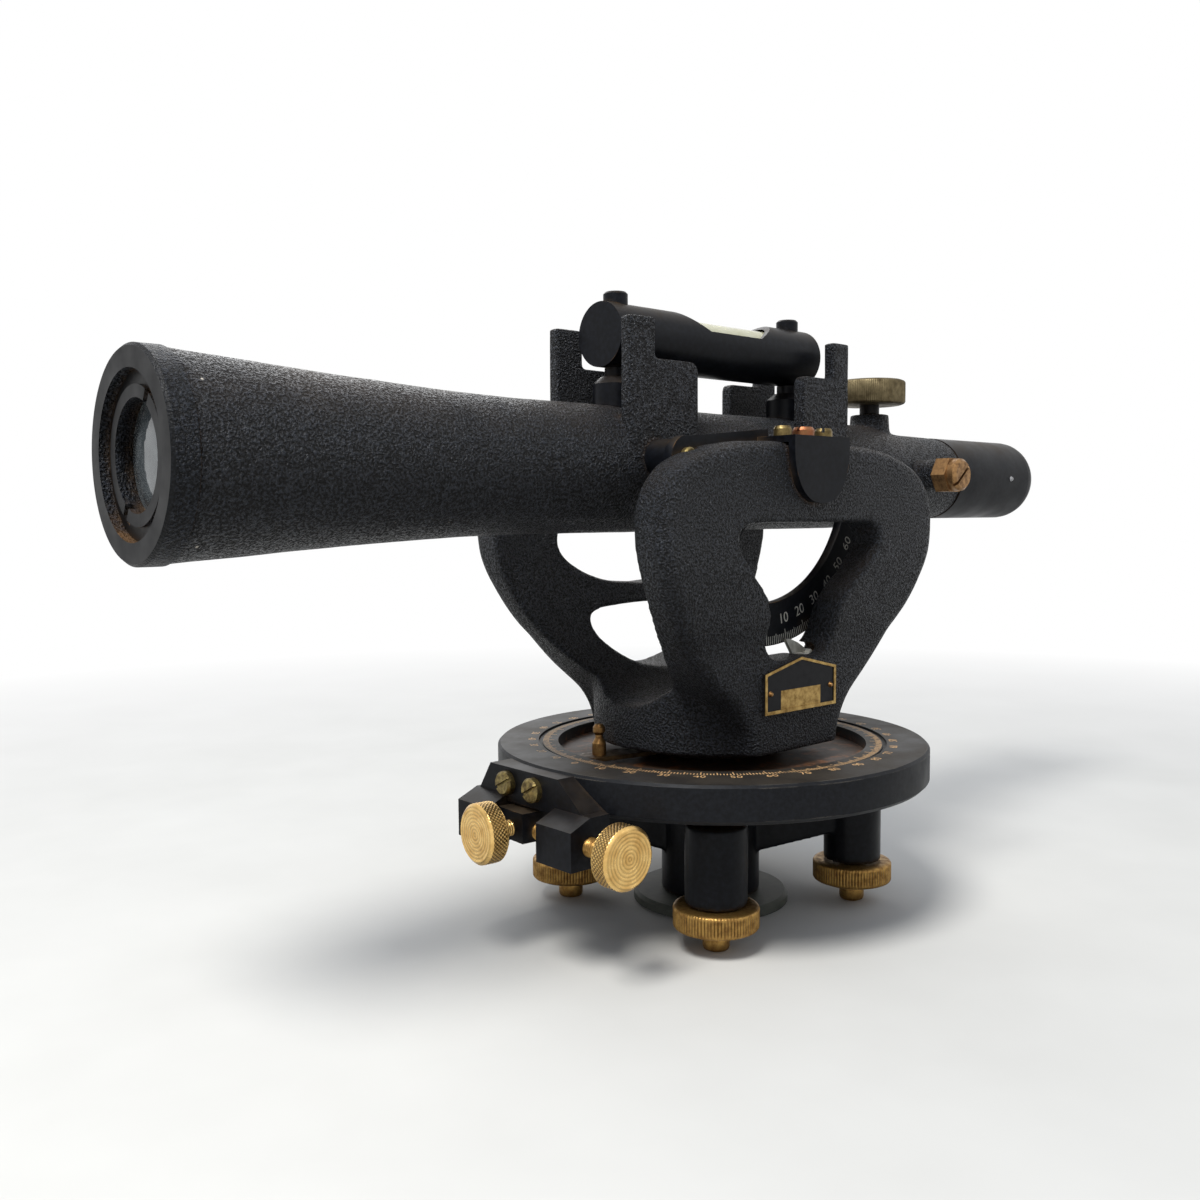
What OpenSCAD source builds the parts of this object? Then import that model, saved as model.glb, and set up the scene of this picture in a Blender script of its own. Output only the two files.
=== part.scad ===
/* [Levelling head] */
// Radius of the circle on which the four levelling screws stand
screw_ring_r = 46.7; // [44:0.5:50]
// Radius of a levelling screw's knurled head
nut_r = 12.7; // [11:0.5:14]
// Thickness of a levelling screw's knurled head
nut_h = 6.9; // [6:0.1:9]
// Radius of a levelling screw's foot
foot_r = 4; // [3.5:0.1:5]
// Height of a levelling screw's foot
foot_h = 6.6; // [4:0.1:7.5]
// Radius of a levelling screw's thread
level_thread_r = 4; // [3:0.25:5]
// Length of thread inside its barrel
level_thread_l = 20; // [16:1:22]
// Radius of the four barrels that hold the levelling screws
barrel_r = 9.3; // [8:0.1:11]
// Radius of the collar that the clamp ring grips
collar_r = 17.4; // [16:0.2:19]
// Radius of the centre post
post_r = 16.2; // [14:0.2:18]
// Width of the four arms
arm_w = 13; // [9:1:15]
// Radius of the foot plate under the centre post
foot_plate_r = 25.5; // [22:0.5:30]
// Thickness of the foot plate
foot_plate_t = 3.2; // [2.5:0.1:4]
// Radius of the threaded hole for the tripod screw, 5/8 inch
tripod_hole_r = 6.8; // [5:0.1:7.5]
// Depth of the tripod hole
tripod_hole_l = 12; // [8:1:14]

/* [Horizontal circle] */
// Outer radius of the circle
circle_r = 70; // [66:0.5:74]
// Thickness at the rim
circle_t = 11.2; // [9:0.1:13]
// Height of the top face above the feet
circle_top = 54; // [52:0.5:60]
// Radius of the sunk middle
recess_r = 50.3; // [46:0.1:53]
// Depth of the sunk middle
recess_d = 4; // [2:0.5:5]
// Radius of the groove inside the graduations
groove_r = 55.5; // [54:0.1:58]
// Width of the groove
groove_w = 1.2; // [0.8:0.1:2]
// Depth of the groove
groove_d = 0.8; // [0.4:0.1:1.5]

/* [Clamp and tangent screw] */
// Thickness of the clamp ring and its arm, which pass over the barrels
clamp_bar_h = 4.3; // [3:0.1:5]
// Outer radius of the clamp ring
clamp_ring_r = 25; // [22:1:27]
// Width of the clamp arm's end block, along the rim
clamp_block_w = 12.6; // [11:0.2:16]
// Reach of the end block from the vertical axis beyond the rim
clamp_block_reach = 9.3; // [7:0.1:11]
// Height of the end block
clamp_block_h = 8.7; // [8.4:0.1:12]
// Radius of both brass knobs
knob_r = 8.9; // [7:0.1:11]
// Thickness of both brass knobs
knob_h = 6.5; // [5:0.5:9]
// Radius of the tangent screw
knob_screw_r = 2.8; // [2:0.1:3.4]
// Radius of the clamp screw
clamp_screw_r = 2.4; // [1.8:0.1:2.6]
// Bare length of screw between clamp block and knob
clamp_neck = 5.6; // [4:0.1:9]
// Bare length of screw between lug and tangent knob
tangent_neck = 9.4; // [7:0.1:12]
// Where the slow motion stands, degrees from the bracket's middle
clamp_swing = 3.8; // [3.6:0.1:3.9]
// Thickness of the bracket's plate outside the rim
bracket_t = 5; // [4:0.5:7]
// Width of each of the bracket's two lugs, along the rim
lug_w = 15.1; // [13:0.1:16]
// Height of the lugs
lug_h = 12; // [11:0.1:13]
// Distance from the bracket's middle to each lug
lug_y = 11.2; // [11.2:0.1:12]
// Distance of the tangent screw's line outside the rim
tangent_out = 5; // [4:0.5:6]
// Depth of both knobs' lines under the circle's top
knob_drop = 16.9; // [15:0.1:17.5]
// Radius of the two bracket screws' heads
bracket_screw_r = 3.6; // [2.5:0.1:3.8]
// Height of the bracket screws' heads
bracket_screw_h = 2.4; // [1.5:0.1:3]

/* [Standards] */
// Height of the telescope's axis above the circle
axis_rise = 87; // [84:0.5:92]
// Half width of the standards at their widest
yoke_half_w = 64.5; // [60:0.5:68]
// Distance of the standards' outer faces from the middle
yoke_out = 43; // [41:0.5:45]
// Distance of the standards' inner faces from the middle
yoke_in = 31; // [30:0.25:32]
// Half length of the foot along the telescope
foot_half_x = 21; // [18:0.5:24]
// Half width of the foot across the telescope
foot_half_y = 37.2; // [35:0.2:39]
// Radius of the round base between the standards
base_r = 38.6; // [36:0.2:39.6]
// Gap between the standards' foot and the circle's top
yoke_gap = 1; // [0.6:0.1:2]
// Height of the standards' top above the telescope's axis
yoke_top = 7.2; // [7:0.1:8]
// Chamfer along the standards' outer edges
yoke_edge = 3.6; // [1:0.2:4]
// Radius of the turned hub under the foot
hub_r = 24; // [20:1:28]
// Radius of the spindle through circle and clamp ring
spindle_r = 14; // [12:0.5:15]
// Radius of the spindle's lower end
spindle_tip_r = 9; // [7:0.5:10]
// Half width of the name plate
plate_half_w = 17; // [13:0.5:19]
// Height of the name plate's sides
plate_h = 12.2; // [9:0.2:13]
// Rise of the name plate's peak
plate_peak = 4; // [1:0.2:4]
// Thickness of the name plate
plate_t = 0.8; // [0.5:0.1:1.2]

/* [Trunnion bearings] */
// Radius of the trunnions
trunnion_r = 5; // [4:0.25:5.5]
// Wall of the brass bushes
bush_wall = 1.6; // [1.2:0.1:2]
// Half width of the caps
cap_half_w = 13; // [13:0.5:17]
// Thickness of the caps' top
cap_t = 2; // [1.5:0.1:3]
// Thickness of the caps' outer shield
shield_t = 2.4; // [1.5:0.1:3]
// Reach of the shield below the axis
shield_drop = 10.6; // [9:0.2:13]
// Spacing of the cap screws
cap_screw_gap = 9.7; // [8.5:0.1:10.5]
// Head radius of the outer cap screws
cap_screw_r = 2.7; // [2:0.1:3]
// Head radius of the middle cap screw
oil_screw_r = 3.3; // [2.5:0.1:3.8]
// Height of the cap screws' heads
cap_screw_h = 3; // [1.5:0.1:3.4]
// Distance from the axis to the lock screw, towards the objective
lock_x = 43; // [41:0.5:45]
// Height of the lock screw above the axis
lock_z = 2.5; // [1:0.5:4]
// Thickness of the lock arm
lock_t = 3; // [2:0.25:3.5]
// Depth of the lock arm's bar
lock_bar = 4.8; // [4:0.2:6]
// Radius of the lock pad
lock_pad_r = 6; // [4:0.25:6.5]

/* [Vertical arc] */
// Inner radius of the arc
arc_in = 41.5; // [38:0.5:44]
// Outer radius of the arc
arc_out = 55; // [52:0.5:56]
// Gap between the arc and the tube's trunnion boss
arc_gap = 0.5; // [0.3:0.1:1.5]
// Thickness of the arc
arc_t = 3; // [2:0.25:3.5]
// Where the arc ends towards the objective, degrees from the lowest point
arc_front = 48; // [42:1:49]
// Where the arc ends towards the eye, degrees from the lowest point
arc_back = 88; // [60:1:90]

/* [Telescope] */
// Distance from the vertical axis to the objective's face
front_x = 186; // [175:1:200]
// Distance from the vertical axis to the eye end
rear_x = 187; // [180:1:200]
// Radius of the objective cell
cell_r = 24.5; // [23:0.1:27]
// Length of the objective cell outside the tube
cell_l = 6; // [4:0.5:8]
// Radius of the recess in the cell
cell_bore_r = 19.1; // [17:0.1:20]
// Radius of the lens retaining ring's hole
ring_hole_r = 12.75; // [11:0.25:15]
// Thickness of the lens retaining ring
ring_t = 4.5; // [2:0.25:5]
// Radius of the tube between the standards
tube_r = 19; // [18.5:0.1:19.4]
// Where the taper meets the straight tube
taper_x = 92; // [80:1:100]
// Radius of the bore that carries the focusing slide
slide_r = 14; // [12.5:0.1:14.5]
// Radius of the eye end's sleeve
sleeve_r = 15.8; // [15:0.1:17]
// Where the sleeve starts
sleeve_x = 126; // [120:1:130]
// Radius of the neck that carries the sleeve
neck_r = 13; // [12:0.1:13.5]
// Length of the neck
neck_l = 16; // [12:1:20]
// Radius of the rounding at the eye end
eye_round = 10; // [6:0.5:10]
// Radius of the eye opening
eye_r = 5; // [4:0.25:6]
// Thickness of the objective lens at its edge
lens_edge = 4; // [3:0.25:5]

/* [Focus and crosshairs] */
// Distance from the vertical axis to the focus knob's shaft
focus_x = 87; // [84:0.5:90]
// Radius of the focus knob
focus_r = 13; // [12:0.5:16]
// Thickness of the focus knob
focus_h = 9; // [6:0.5:10]
// Radius of the boss under the focus knob
focus_boss_r = 7.1; // [6:0.1:9]
// Height of that boss above the axis
focus_boss_h = 23; // [22:0.5:26]
// Bare neck between boss and knob
focus_neck = 3.5; // [3:0.5:6]
// Radius of the focus shaft
focus_shaft_r = 2.5; // [2:0.1:3]
// Radius of the collar on the focus shaft, between boss and knob
focus_collar_r = 3.6; // [3.4:0.1:5]
// Pitch radius of the focus pinion
pinion_r = 3; // [3:1:3]
// Length of the focusing slide
slide_l = 80; // [60:1:88]
// Distance from the vertical axis to the crosshair ring
cross_x = 97; // [96:0.5:99]
// Radius of the crosshair ring
cross_r = 9.4; // [8.5:0.1:9.6]
// Radius of the two crosshair bosses
cross_boss_r = 6; // [5:0.1:6.5]
// Reach of the crosshair bosses from the axis
cross_boss_y = 24.5; // [19.5:0.5:26]
// Half width across flats of the brass crosshair nuts
cross_hex = 6; // [4.5:0.1:6.5]
// Thickness of the crosshair nuts
cross_hex_t = 5.5; // [4:0.5:7]

/* [Telescope level] */
// Height of the level tube's axis above the telescope's
vial_rise = 39.7; // [38:0.1:42]
// Radius of the level tube
vial_r = 9.6; // [8.5:0.1:11]
// Distance from the vertical axis to the front level post
vial_front_x = 41.4; // [39:0.2:44]
// Distance from the vertical axis to the rear level post
vial_rear_x = 38.6; // [36:0.2:41]
// Length of tube beyond each post
vial_overhang = 6.3; // [5:0.1:8]
// Radius of the glass
glass_r = 8; // [6:0.1:8.2]
// Depth of the cut over the window
window_cut = 6.1; // [3:0.1:6.5]
// Half length of the window's flat
window_half = 12; // [8:0.5:16]
// Radius of the top nuts
top_nut_r = 3.7; // [3.2:0.1:5]
// Height of the top nuts
top_nut_h = 3.25; // [2.5:0.25:5]
// Radius of the lower nuts
low_nut_r = 7; // [5.5:0.1:8]
// Height of the lower nuts
low_nut_h = 8.5; // [6:0.5:9.5]
// Distance of the guard walls' inner faces from the middle
wall_in = 13.8; // [13:0.1:14.5]
// Thickness of the guard walls
wall_t = 4.4; // [3:0.1:4.8]
// Height of the front prongs above the axis
prong_front_h = 43; // [40:0.5:46]
// Height of the rear prongs above the axis
prong_rear_h = 43.6; // [40:0.5:46]
// Height of the walls' shoulders above the axis
shoulder_h = 31.5; // [31:0.5:35]

/* [Hidden] */
$fn = 96;
eps = 0.01;

// Radial play of every shaft or slide in its bore
fit = 0.05;
// Gap between parts that move past each other
clear = 0.5;
screw_angles = [45, 135, 225, 315];
circle_bottom = circle_top - circle_t;
barrel_bottom = foot_h + nut_h + clear;
// The clamp ring turns between the arms and the circle
clamp_top = circle_bottom - clear;
knob_z = circle_top - knob_drop;
arm_top = clamp_top - clamp_bar_h - clear;
barrel_rise = 0.2;
foot_lift = 0.5;
post_bottom = foot_plate_t + foot_lift;
spigot_r = spindle_tip_r;
spindle_end = tripod_hole_l + 3;

axis_z = circle_top + axis_rise;
yoke_bottom = circle_top + yoke_gap;
seat_z = axis_z + yoke_top;
bush_r = trunnion_r + bush_wall;
slot_half = bush_r - 0.2;
cap_y = (yoke_in + yoke_out) / 2 + 1;
tube_boss_y = tube_r + 1.5;
arc_y = tube_boss_y + arc_gap;
lock_y = yoke_in - lock_t;
wall_out = wall_in + wall_t;

// The bracket's flat face, and the middle of the clamp block
face_x = circle_r + bracket_t;
tangent_x = circle_r + tangent_out;
block_x = circle_r + clamp_block_reach;
lug_depth = 2 * (face_x + 7 - tangent_x);

// A smooth closed outline through points, right half given from top to bottom
function spline_point(a, b, c, d, t) =
    0.5 * (2 * b + (c - a) * t + (2 * a - 5 * b + 4 * c - d) * t * t + (3 * b - a - 3 * c + d) * t * t * t);
function spline(p, steps) = [
    for (i = [0:len(p) - 2], s = [0:steps - 1])
        spline_point(p[max(i - 1, 0)], p[i], p[i + 1], p[min(i + 2, len(p) - 1)], s / steps),
    p[len(p) - 1]];
function mirrored(half) = concat(half, [
    for (i = [len(half) - 1:-1:0]) if (half[i][0] > eps) [-half[i][0], half[i][1]]]);
// Moves the right half of an outline inwards along its normals
function inset(p, d) = [
    for (i = [0:len(p) - 1])
        let (a = i == 0 ? [-p[1][0], p[1][1]] : p[i - 1],
            b = i == len(p) - 1 ? p[i] - [0, 1] : p[i + 1], v = b - a)
        p[i] + d * [v[1], -v[0]] / norm(v)];

module upright(y0, y1) {
    translate([0, y1, 0])
        rotate([90, 0, 0])
            linear_extrude(y1 - y0)
                children();
}

module rod_x(x0, x1, r, y = 0, z = 0) {
    translate([x0, y, z])
        rotate([0, 90, 0])
            cylinder(r = r, h = x1 - x0);
}

module rod_y(y0, y1, r, x = 0, z = 0) {
    translate([x, y1, z])
        rotate([90, 0, 0])
            cylinder(r = r, h = y1 - y0);
}

// A solid of revolution about the telescope's axis, from [x, r] points
module turned_x(points) {
    translate([0, 0, axis_z])
        rotate([0, 90, 0])
            rotate_extrude()
                polygon([for (p = points) [p[1], p[0]]]);
}

// A solid of revolution about the vertical, from [r, z] points
module turned_z(points) {
    rotate_extrude()
        polygon(points);
}

module slotted_head(r, h, slot = 0.9) {
    difference() {
        turned_z([[0, 0], [r, 0], [r, h * 0.7], [r * 0.82, h], [0, h]]);
        translate([-r - 1, -slot / 2, h * 0.55])
            cube([2 * r + 2, slot, h]);
    }
}

module leveling_head() {
    color("#1b1d1f")
        difference() {
            union() {
                translate([0, 0, post_bottom])
                    cylinder(r = post_r, h = arm_top - post_bottom);
                translate([0, 0, arm_top - eps])
                    cylinder(r = collar_r, h = clamp_bar_h + clear);
                translate([0, 0, foot_lift])
                    cylinder(r = spigot_r, h = post_bottom);
                for (a = screw_angles)
                    rotate(a) {
                        translate([screw_ring_r, 0, barrel_bottom])
                            cylinder(r = barrel_r, h = arm_top + barrel_rise - barrel_bottom);
                        upright(-arm_w / 2, arm_w / 2)
                            polygon([[post_r / 2, arm_top - 21], [post_r, arm_top - 20],
                                [screw_ring_r, arm_top - 12], [screw_ring_r, arm_top], [post_r / 2, arm_top]]);
                    }
            }
            translate([0, 0, spindle_end])
                cylinder(r = spindle_tip_r + fit, h = circle_top);
            translate([0, 0, arm_top])
                cylinder(r = spindle_r + fit, h = circle_top);
            translate([0, 0, -1])
                cylinder(r = tripod_hole_r, h = tripod_hole_l + 1 + foot_lift);
            for (a = screw_angles)
                rotate(a)
                    translate([screw_ring_r, 0, barrel_bottom - 1])
                        cylinder(r = level_thread_r + fit, h = level_thread_l + 2);
        }
}

module foot_plate() {
    color("#6f7668")
        difference() {
            translate([0, 0, foot_lift])
                turned_z([[0, 0], [foot_plate_r, 0], [foot_plate_r, foot_plate_t - 1],
                    [foot_plate_r - 1, foot_plate_t], [0, foot_plate_t]]);
            translate([0, 0, -1])
                cylinder(r = spigot_r + fit, h = foot_plate_t + 3);
        }
}

module leveling_screw(i) {
    color("#9a7a3c")
        rotate(screw_angles[i])
            translate([screw_ring_r, 0, 0]) {
                turned_z([[0, 0], [foot_r - 0.8, 0], [foot_r, 0.8], [foot_r, foot_h], [nut_r - 1, foot_h],
                    [nut_r, foot_h + 1], [nut_r, foot_h + nut_h - 1], [nut_r - 1, foot_h + nut_h],
                    [level_thread_r, foot_h + nut_h], [level_thread_r, barrel_bottom + level_thread_l],
                    [0, barrel_bottom + level_thread_l]]);
            }
}

module leveling_screw_1() { leveling_screw(0); }
module leveling_screw_2() { leveling_screw(1); }
module leveling_screw_3() { leveling_screw(2); }
module leveling_screw_4() { leveling_screw(3); }

module horizontal_circle() {
    color("#3c3d3c")
        difference() {
            turned_z([[spindle_r + fit, circle_bottom], [circle_r - 1.2, circle_bottom],
                [circle_r, circle_bottom + 1.2], [circle_r, circle_top - 0.8], [circle_r - 0.8, circle_top],
                [groove_r + groove_w, circle_top], [groove_r + groove_w, circle_top - groove_d],
                [groove_r, circle_top - groove_d], [groove_r, circle_top - groove_d / 2],
                [recess_r, circle_top - groove_d / 2], [recess_r, circle_top - recess_d],
                [spindle_r + fit, circle_top - recess_d]]);
            // Flat that seats the bracket, with its two tapped holes
            for (y = bracket_screw_y)
                rod_x(-face_x, -circle_r + 6, bracket_thread_r, y, bracket_screw_z);
        }
}

bracket_thread_r = 1.8;
bracket_mid_y = 1;
bracket_screw_y = [bracket_mid_y - 1.8, bracket_mid_y + 10.8];
bracket_screw_z = circle_top - 5.4;
lug_top = knob_z + lug_h / 2;

module lug(y0) {
    difference() {
        translate([-face_x - 7, y0, lug_top - lug_h])
            cube([lug_depth, lug_w, lug_h + 2]);
        // Sloping top of the lug
        upright(y0 - 1, y0 + lug_w + 1)
            polygon([[-face_x - 8, lug_top - 1], [-face_x - 7, lug_top - 1], [-face_x, lug_top + 2],
                [-face_x, lug_top + 4], [-face_x - 8, lug_top + 4]]);
    }
}

module tangent_bracket() {
    top = circle_top - 0.6;
    plate_low = circle_bottom + 0.3;
    color("#232527")
        difference() {
            union() {
                translate([-face_x, bracket_mid_y, 0])
                    rotate([90, 0, 90])
                        linear_extrude(bracket_t + 6)
                            polygon([[lug_y + 8, top], [-lug_y - 1.2, top], [-lug_y - lug_w + 2.4, plate_low + 1],
                                [-lug_y - lug_w + 2.4, plate_low], [lug_y + lug_w - 1, plate_low],
                                [lug_y + lug_w - 1, plate_low + 1]]);
                lug(bracket_mid_y - lug_y - lug_w);
                lug(bracket_mid_y + lug_y);
            }
            // Seat on the circle's rim
            translate([0, 0, circle_bottom - 20])
                cylinder(r = circle_r, h = 60);
            for (y = bracket_screw_y)
                rod_x(-face_x - 1, -circle_r + 6, bracket_thread_r, y, bracket_screw_z);
            rod_y(bracket_mid_y - lug_y - lug_w - 1, bracket_mid_y - lug_y + 1, knob_screw_r + fit,
                -tangent_x, knob_z);
            rod_y(bracket_mid_y + lug_y - 1, bracket_mid_y + lug_y + lug_w + 1, plunger_r + fit,
                -tangent_x, knob_z);
            rod_y(plunger_bore_y, bracket_mid_y + lug_y + lug_w + 1, plunger_head_r + fit,
                -tangent_x, knob_z);
        }
}

module bracket_screws() {
    color("#a5884c")
        for (y = bracket_screw_y)
            translate([-face_x, y, bracket_screw_z])
                rotate([0, -90, 0]) {
                    rotate(118)
                        slotted_head(bracket_screw_r, bracket_screw_h);
                    translate([0, 0, -bracket_t - 5])
                        cylinder(r = bracket_thread_r, h = bracket_t + 5 + eps);
                }
}

module clamp_arm() {
    bar_w = clamp_block_w - 3;
    color("#232527")
        rotate(-clamp_swing)
            difference() {
                union() {
                    translate([0, 0, clamp_top - clamp_bar_h])
                        cylinder(r = clamp_ring_r, h = clamp_bar_h);
                    translate([-circle_r + 4, -bar_w / 2, clamp_top - clamp_bar_h])
                        cube([circle_r - 4 - collar_r - 2, bar_w, clamp_bar_h]);
                    translate([-block_x, -clamp_block_w / 2, clamp_top - clamp_block_h])
                        cube([clamp_block_reach + 6, clamp_block_w, clamp_block_h]);
                }
                translate([0, 0, clamp_top - clamp_bar_h - 1])
                    cylinder(r = collar_r + fit, h = clamp_bar_h + 2);
                rod_x(-block_x - 1, -circle_r + 5, clamp_screw_r + fit, 0, knob_z);
                rod_x(-circle_r + 4, 0, clamp_pin_r + fit, 0, clamp_pin_z);
            }
}

clamp_pin_r = 1.2;
clamp_pin_z = clamp_top - clamp_bar_h / 2 - 0.2;
plunger_r = 2.2;
plunger_head_r = 3.4;
knob_dish = 0.5;

// The pin that passes the clamp screw's thrust to the collar
module clamp_pin() {
    color("#8d8f91")
        rotate(-clamp_swing)
            rod_x(-circle_r + 5 + clear, -collar_r - clear, clamp_pin_r, 0, clamp_pin_z);
}

// A knurled knob on its back face, axis up
module knob() {
    turned_z([[0, 0], [knob_r - 0.8, 0], [knob_r, 0.8], [knob_r, knob_h - 1], [knob_r - 1.2, knob_h],
        [knob_r - 2, knob_h - knob_dish / 2], [0, knob_h - knob_dish / 2]]);
}

module clamp_screw() {
    length = clamp_neck + clamp_block_reach + 4;
    color("#c9a45a")
        rotate(-clamp_swing)
            translate([-block_x - clamp_neck, 0, knob_z])
                rotate([0, -90, 0]) {
                    knob();
                    translate([0, 0, -length])
                        cylinder(r = clamp_screw_r, h = length + eps);
                }
}

// The clamp block's middle and half width on the tangent screw's line
swing_y = tangent_x * tan(clamp_swing);
swing_half = clamp_block_w / 2 / cos(clamp_swing);
tip_y = swing_y - swing_half - 0.1;
tangent_knob_y = bracket_mid_y - lug_y - lug_w - tangent_neck;

module tangent_stem() {
    color("#b08f4e") {
        rod_y(tangent_knob_y - knob_h + 1, tip_y - 1.5, knob_screw_r, -tangent_x, knob_z);
        translate([-tangent_x, tip_y - 1.5, knob_z])
            rotate([90, 0, 0])
                rotate_extrude()
                    polygon([[0, -1.5], [1, -1.3], [1.8, -0.8], [knob_screw_r - 0.3, 0], [knob_screw_r - 0.3, 1],
                        [0, 1]]);
    }
}

module tangent_knob() {
    color("#c9a45a")
        translate([-tangent_x, tangent_knob_y, knob_z])
            rotate([90, 0, 0])
                difference() {
                    knob();
                    translate([0, 0, -1])
                        cylinder(r = knob_screw_r + fit, h = knob_h);
                }
}

plunger_y = swing_y + swing_half + 0.1;
plunger_plug_t = 1.5;
plunger_wall = 1.8;
plunger_bore_y = bracket_mid_y + lug_y + plunger_wall;
plunger_head_y = plunger_bore_y + 6.6;

module spring_plunger() {
    color("#9a9c9e") {
        rod_y(plunger_y + 1, plunger_head_y, plunger_r, -tangent_x, knob_z);
        rod_y(plunger_head_y - eps, plunger_head_y + 1.3, plunger_head_r, -tangent_x, knob_z);
        translate([-tangent_x, plunger_y + 1, knob_z])
            rotate([90, 0, 0])
                rotate_extrude()
                    polygon([[0, 1], [1, 0.8], [1.6, 0.4], [plunger_r, -0.2], [plunger_r, -1], [0, -1]]);
    }
}

// Plain tube in place of the coil, which is shut inside the lug
module plunger_spring() {
    y1 = bracket_mid_y + lug_y + lug_w - plunger_plug_t;
    color("#8a8a88")
        difference() {
            rod_y(plunger_head_y + 1.3, y1, plunger_head_r - 0.4, -tangent_x, knob_z);
            rod_y(plunger_head_y, y1 + 1, plunger_head_r - 1.2, -tangent_x, knob_z);
        }
}

module plunger_plug() {
    y1 = bracket_mid_y + lug_y + lug_w;
    color("#9c7d42")
        difference() {
            rod_y(y1 - plunger_plug_t, y1, plunger_head_r + fit, -tangent_x, knob_z);
            translate([-tangent_x - 0.5, y1 - 0.8, knob_z - plunger_head_r - 1])
                cube([1, 2, 2 * plunger_head_r + 2]);
        }
}

// Depth of the caps' seats
seat_d = 0.6;

// Outline of one standard, seen along its trunnion
yoke_side = [[0, seat_z + seat_d], [0.47 * yoke_half_w, seat_z], [0.75 * yoke_half_w, seat_z - 3.8],
    [0.9 * yoke_half_w, seat_z - 8.8], [0.985 * yoke_half_w, seat_z - 17], [yoke_half_w, seat_z - 27],
    [0.96 * yoke_half_w, seat_z - 38], [0.875 * yoke_half_w, seat_z - 49], [0.75 * yoke_half_w, seat_z - 60],
    [0.59 * yoke_half_w, seat_z - 70], [0.43 * yoke_half_w, seat_z - 78.5], [foot_half_x + 2, seat_z - 85],
    [foot_half_x, seat_z - 91]];
yoke_curve = spline(yoke_side, 3);
function yoke_ring(d) = mirrored(concat(inset(yoke_curve, d), [[foot_half_x - d, yoke_bottom]]));
// Distance of the outer faces from the middle at height z
function yoke_face(z) = lookup(z, [[yoke_bottom, foot_half_y], [axis_z - 52, foot_half_y],
    [axis_z - 46, foot_half_y + 2.4], [axis_z - 28, yoke_out], [seat_z, yoke_out]]);

near_hole = [[0, axis_z - 16.5], [25, axis_z - 16.5], [32, axis_z - 18.5], [32.5, axis_z - 23.5],
    [26, axis_z - 31], [18.5, axis_z - 38], [15.6, axis_z - 45], [15.4, axis_z - 52], [11, axis_z - 57],
    [0, axis_z - 57.8]];
far_upper = [[0, axis_z - 16.5], [30, axis_z - 16.8], [37.5, axis_z - 19], [36.5, axis_z - 26],
    [27, axis_z - 32.3], [16, axis_z - 35.5], [0, axis_z - 36.7]];
far_lower = [[0, axis_z - 43.7], [20, axis_z - 44.6], [27, axis_z - 47], [26, axis_z - 53.5],
    [17, axis_z - 61], [6, axis_z - 64.2], [0, axis_z - 64.6]];

// Both standards as one block, its outer edges rounded, before the U is cut out
yoke_turns = [0, 30, 60, 90];
module yoke_block() {
    half_n = len(yoke_curve) + 1;
    n = 2 * half_n - 1;
    rings = concat([for (a = yoke_turns) [-1, a]], [for (i = [3:-1:0]) [1, yoke_turns[i]]]);
    last = (len(rings) - 1) * n;
    points = [
        for (r = rings, p = yoke_ring(yoke_edge * (1 - sin(r[1]))))
            [p[0], r[0] * (yoke_face(p[1]) - yoke_edge * (1 - cos(r[1]))), p[1]]];
    near_end = concat([[0, 1, n - 1]], [for (i = [1:half_n - 2]) [i, i + 1, n - i - 1, n - i]]);
    far_end = [for (f = near_end) [for (i = [len(f) - 1:-1:0]) f[i] + last]];
    sides = [
        for (k = [0:len(rings) - 2], i = [0:n - 1])
            let (a = k * n + i, b = k * n + (i + 1) % n)
            each [[a, a + n, b + n], [a, b + n, b]]];
    polyhedron(points, concat(near_end, far_end, sides));
}

// The U between the standards, seen along the telescope
u_floor = circle_top + 15;
u_start = axis_z - 25;
module yoke_u() {
    polygon(concat([[yoke_in, seat_z + 2]],
        [for (a = [0:-9:-180]) [yoke_in * cos(a), u_start + (u_start - u_floor) * sin(a)]],
        [[-yoke_in, seat_z + 2]]));
}

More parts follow.
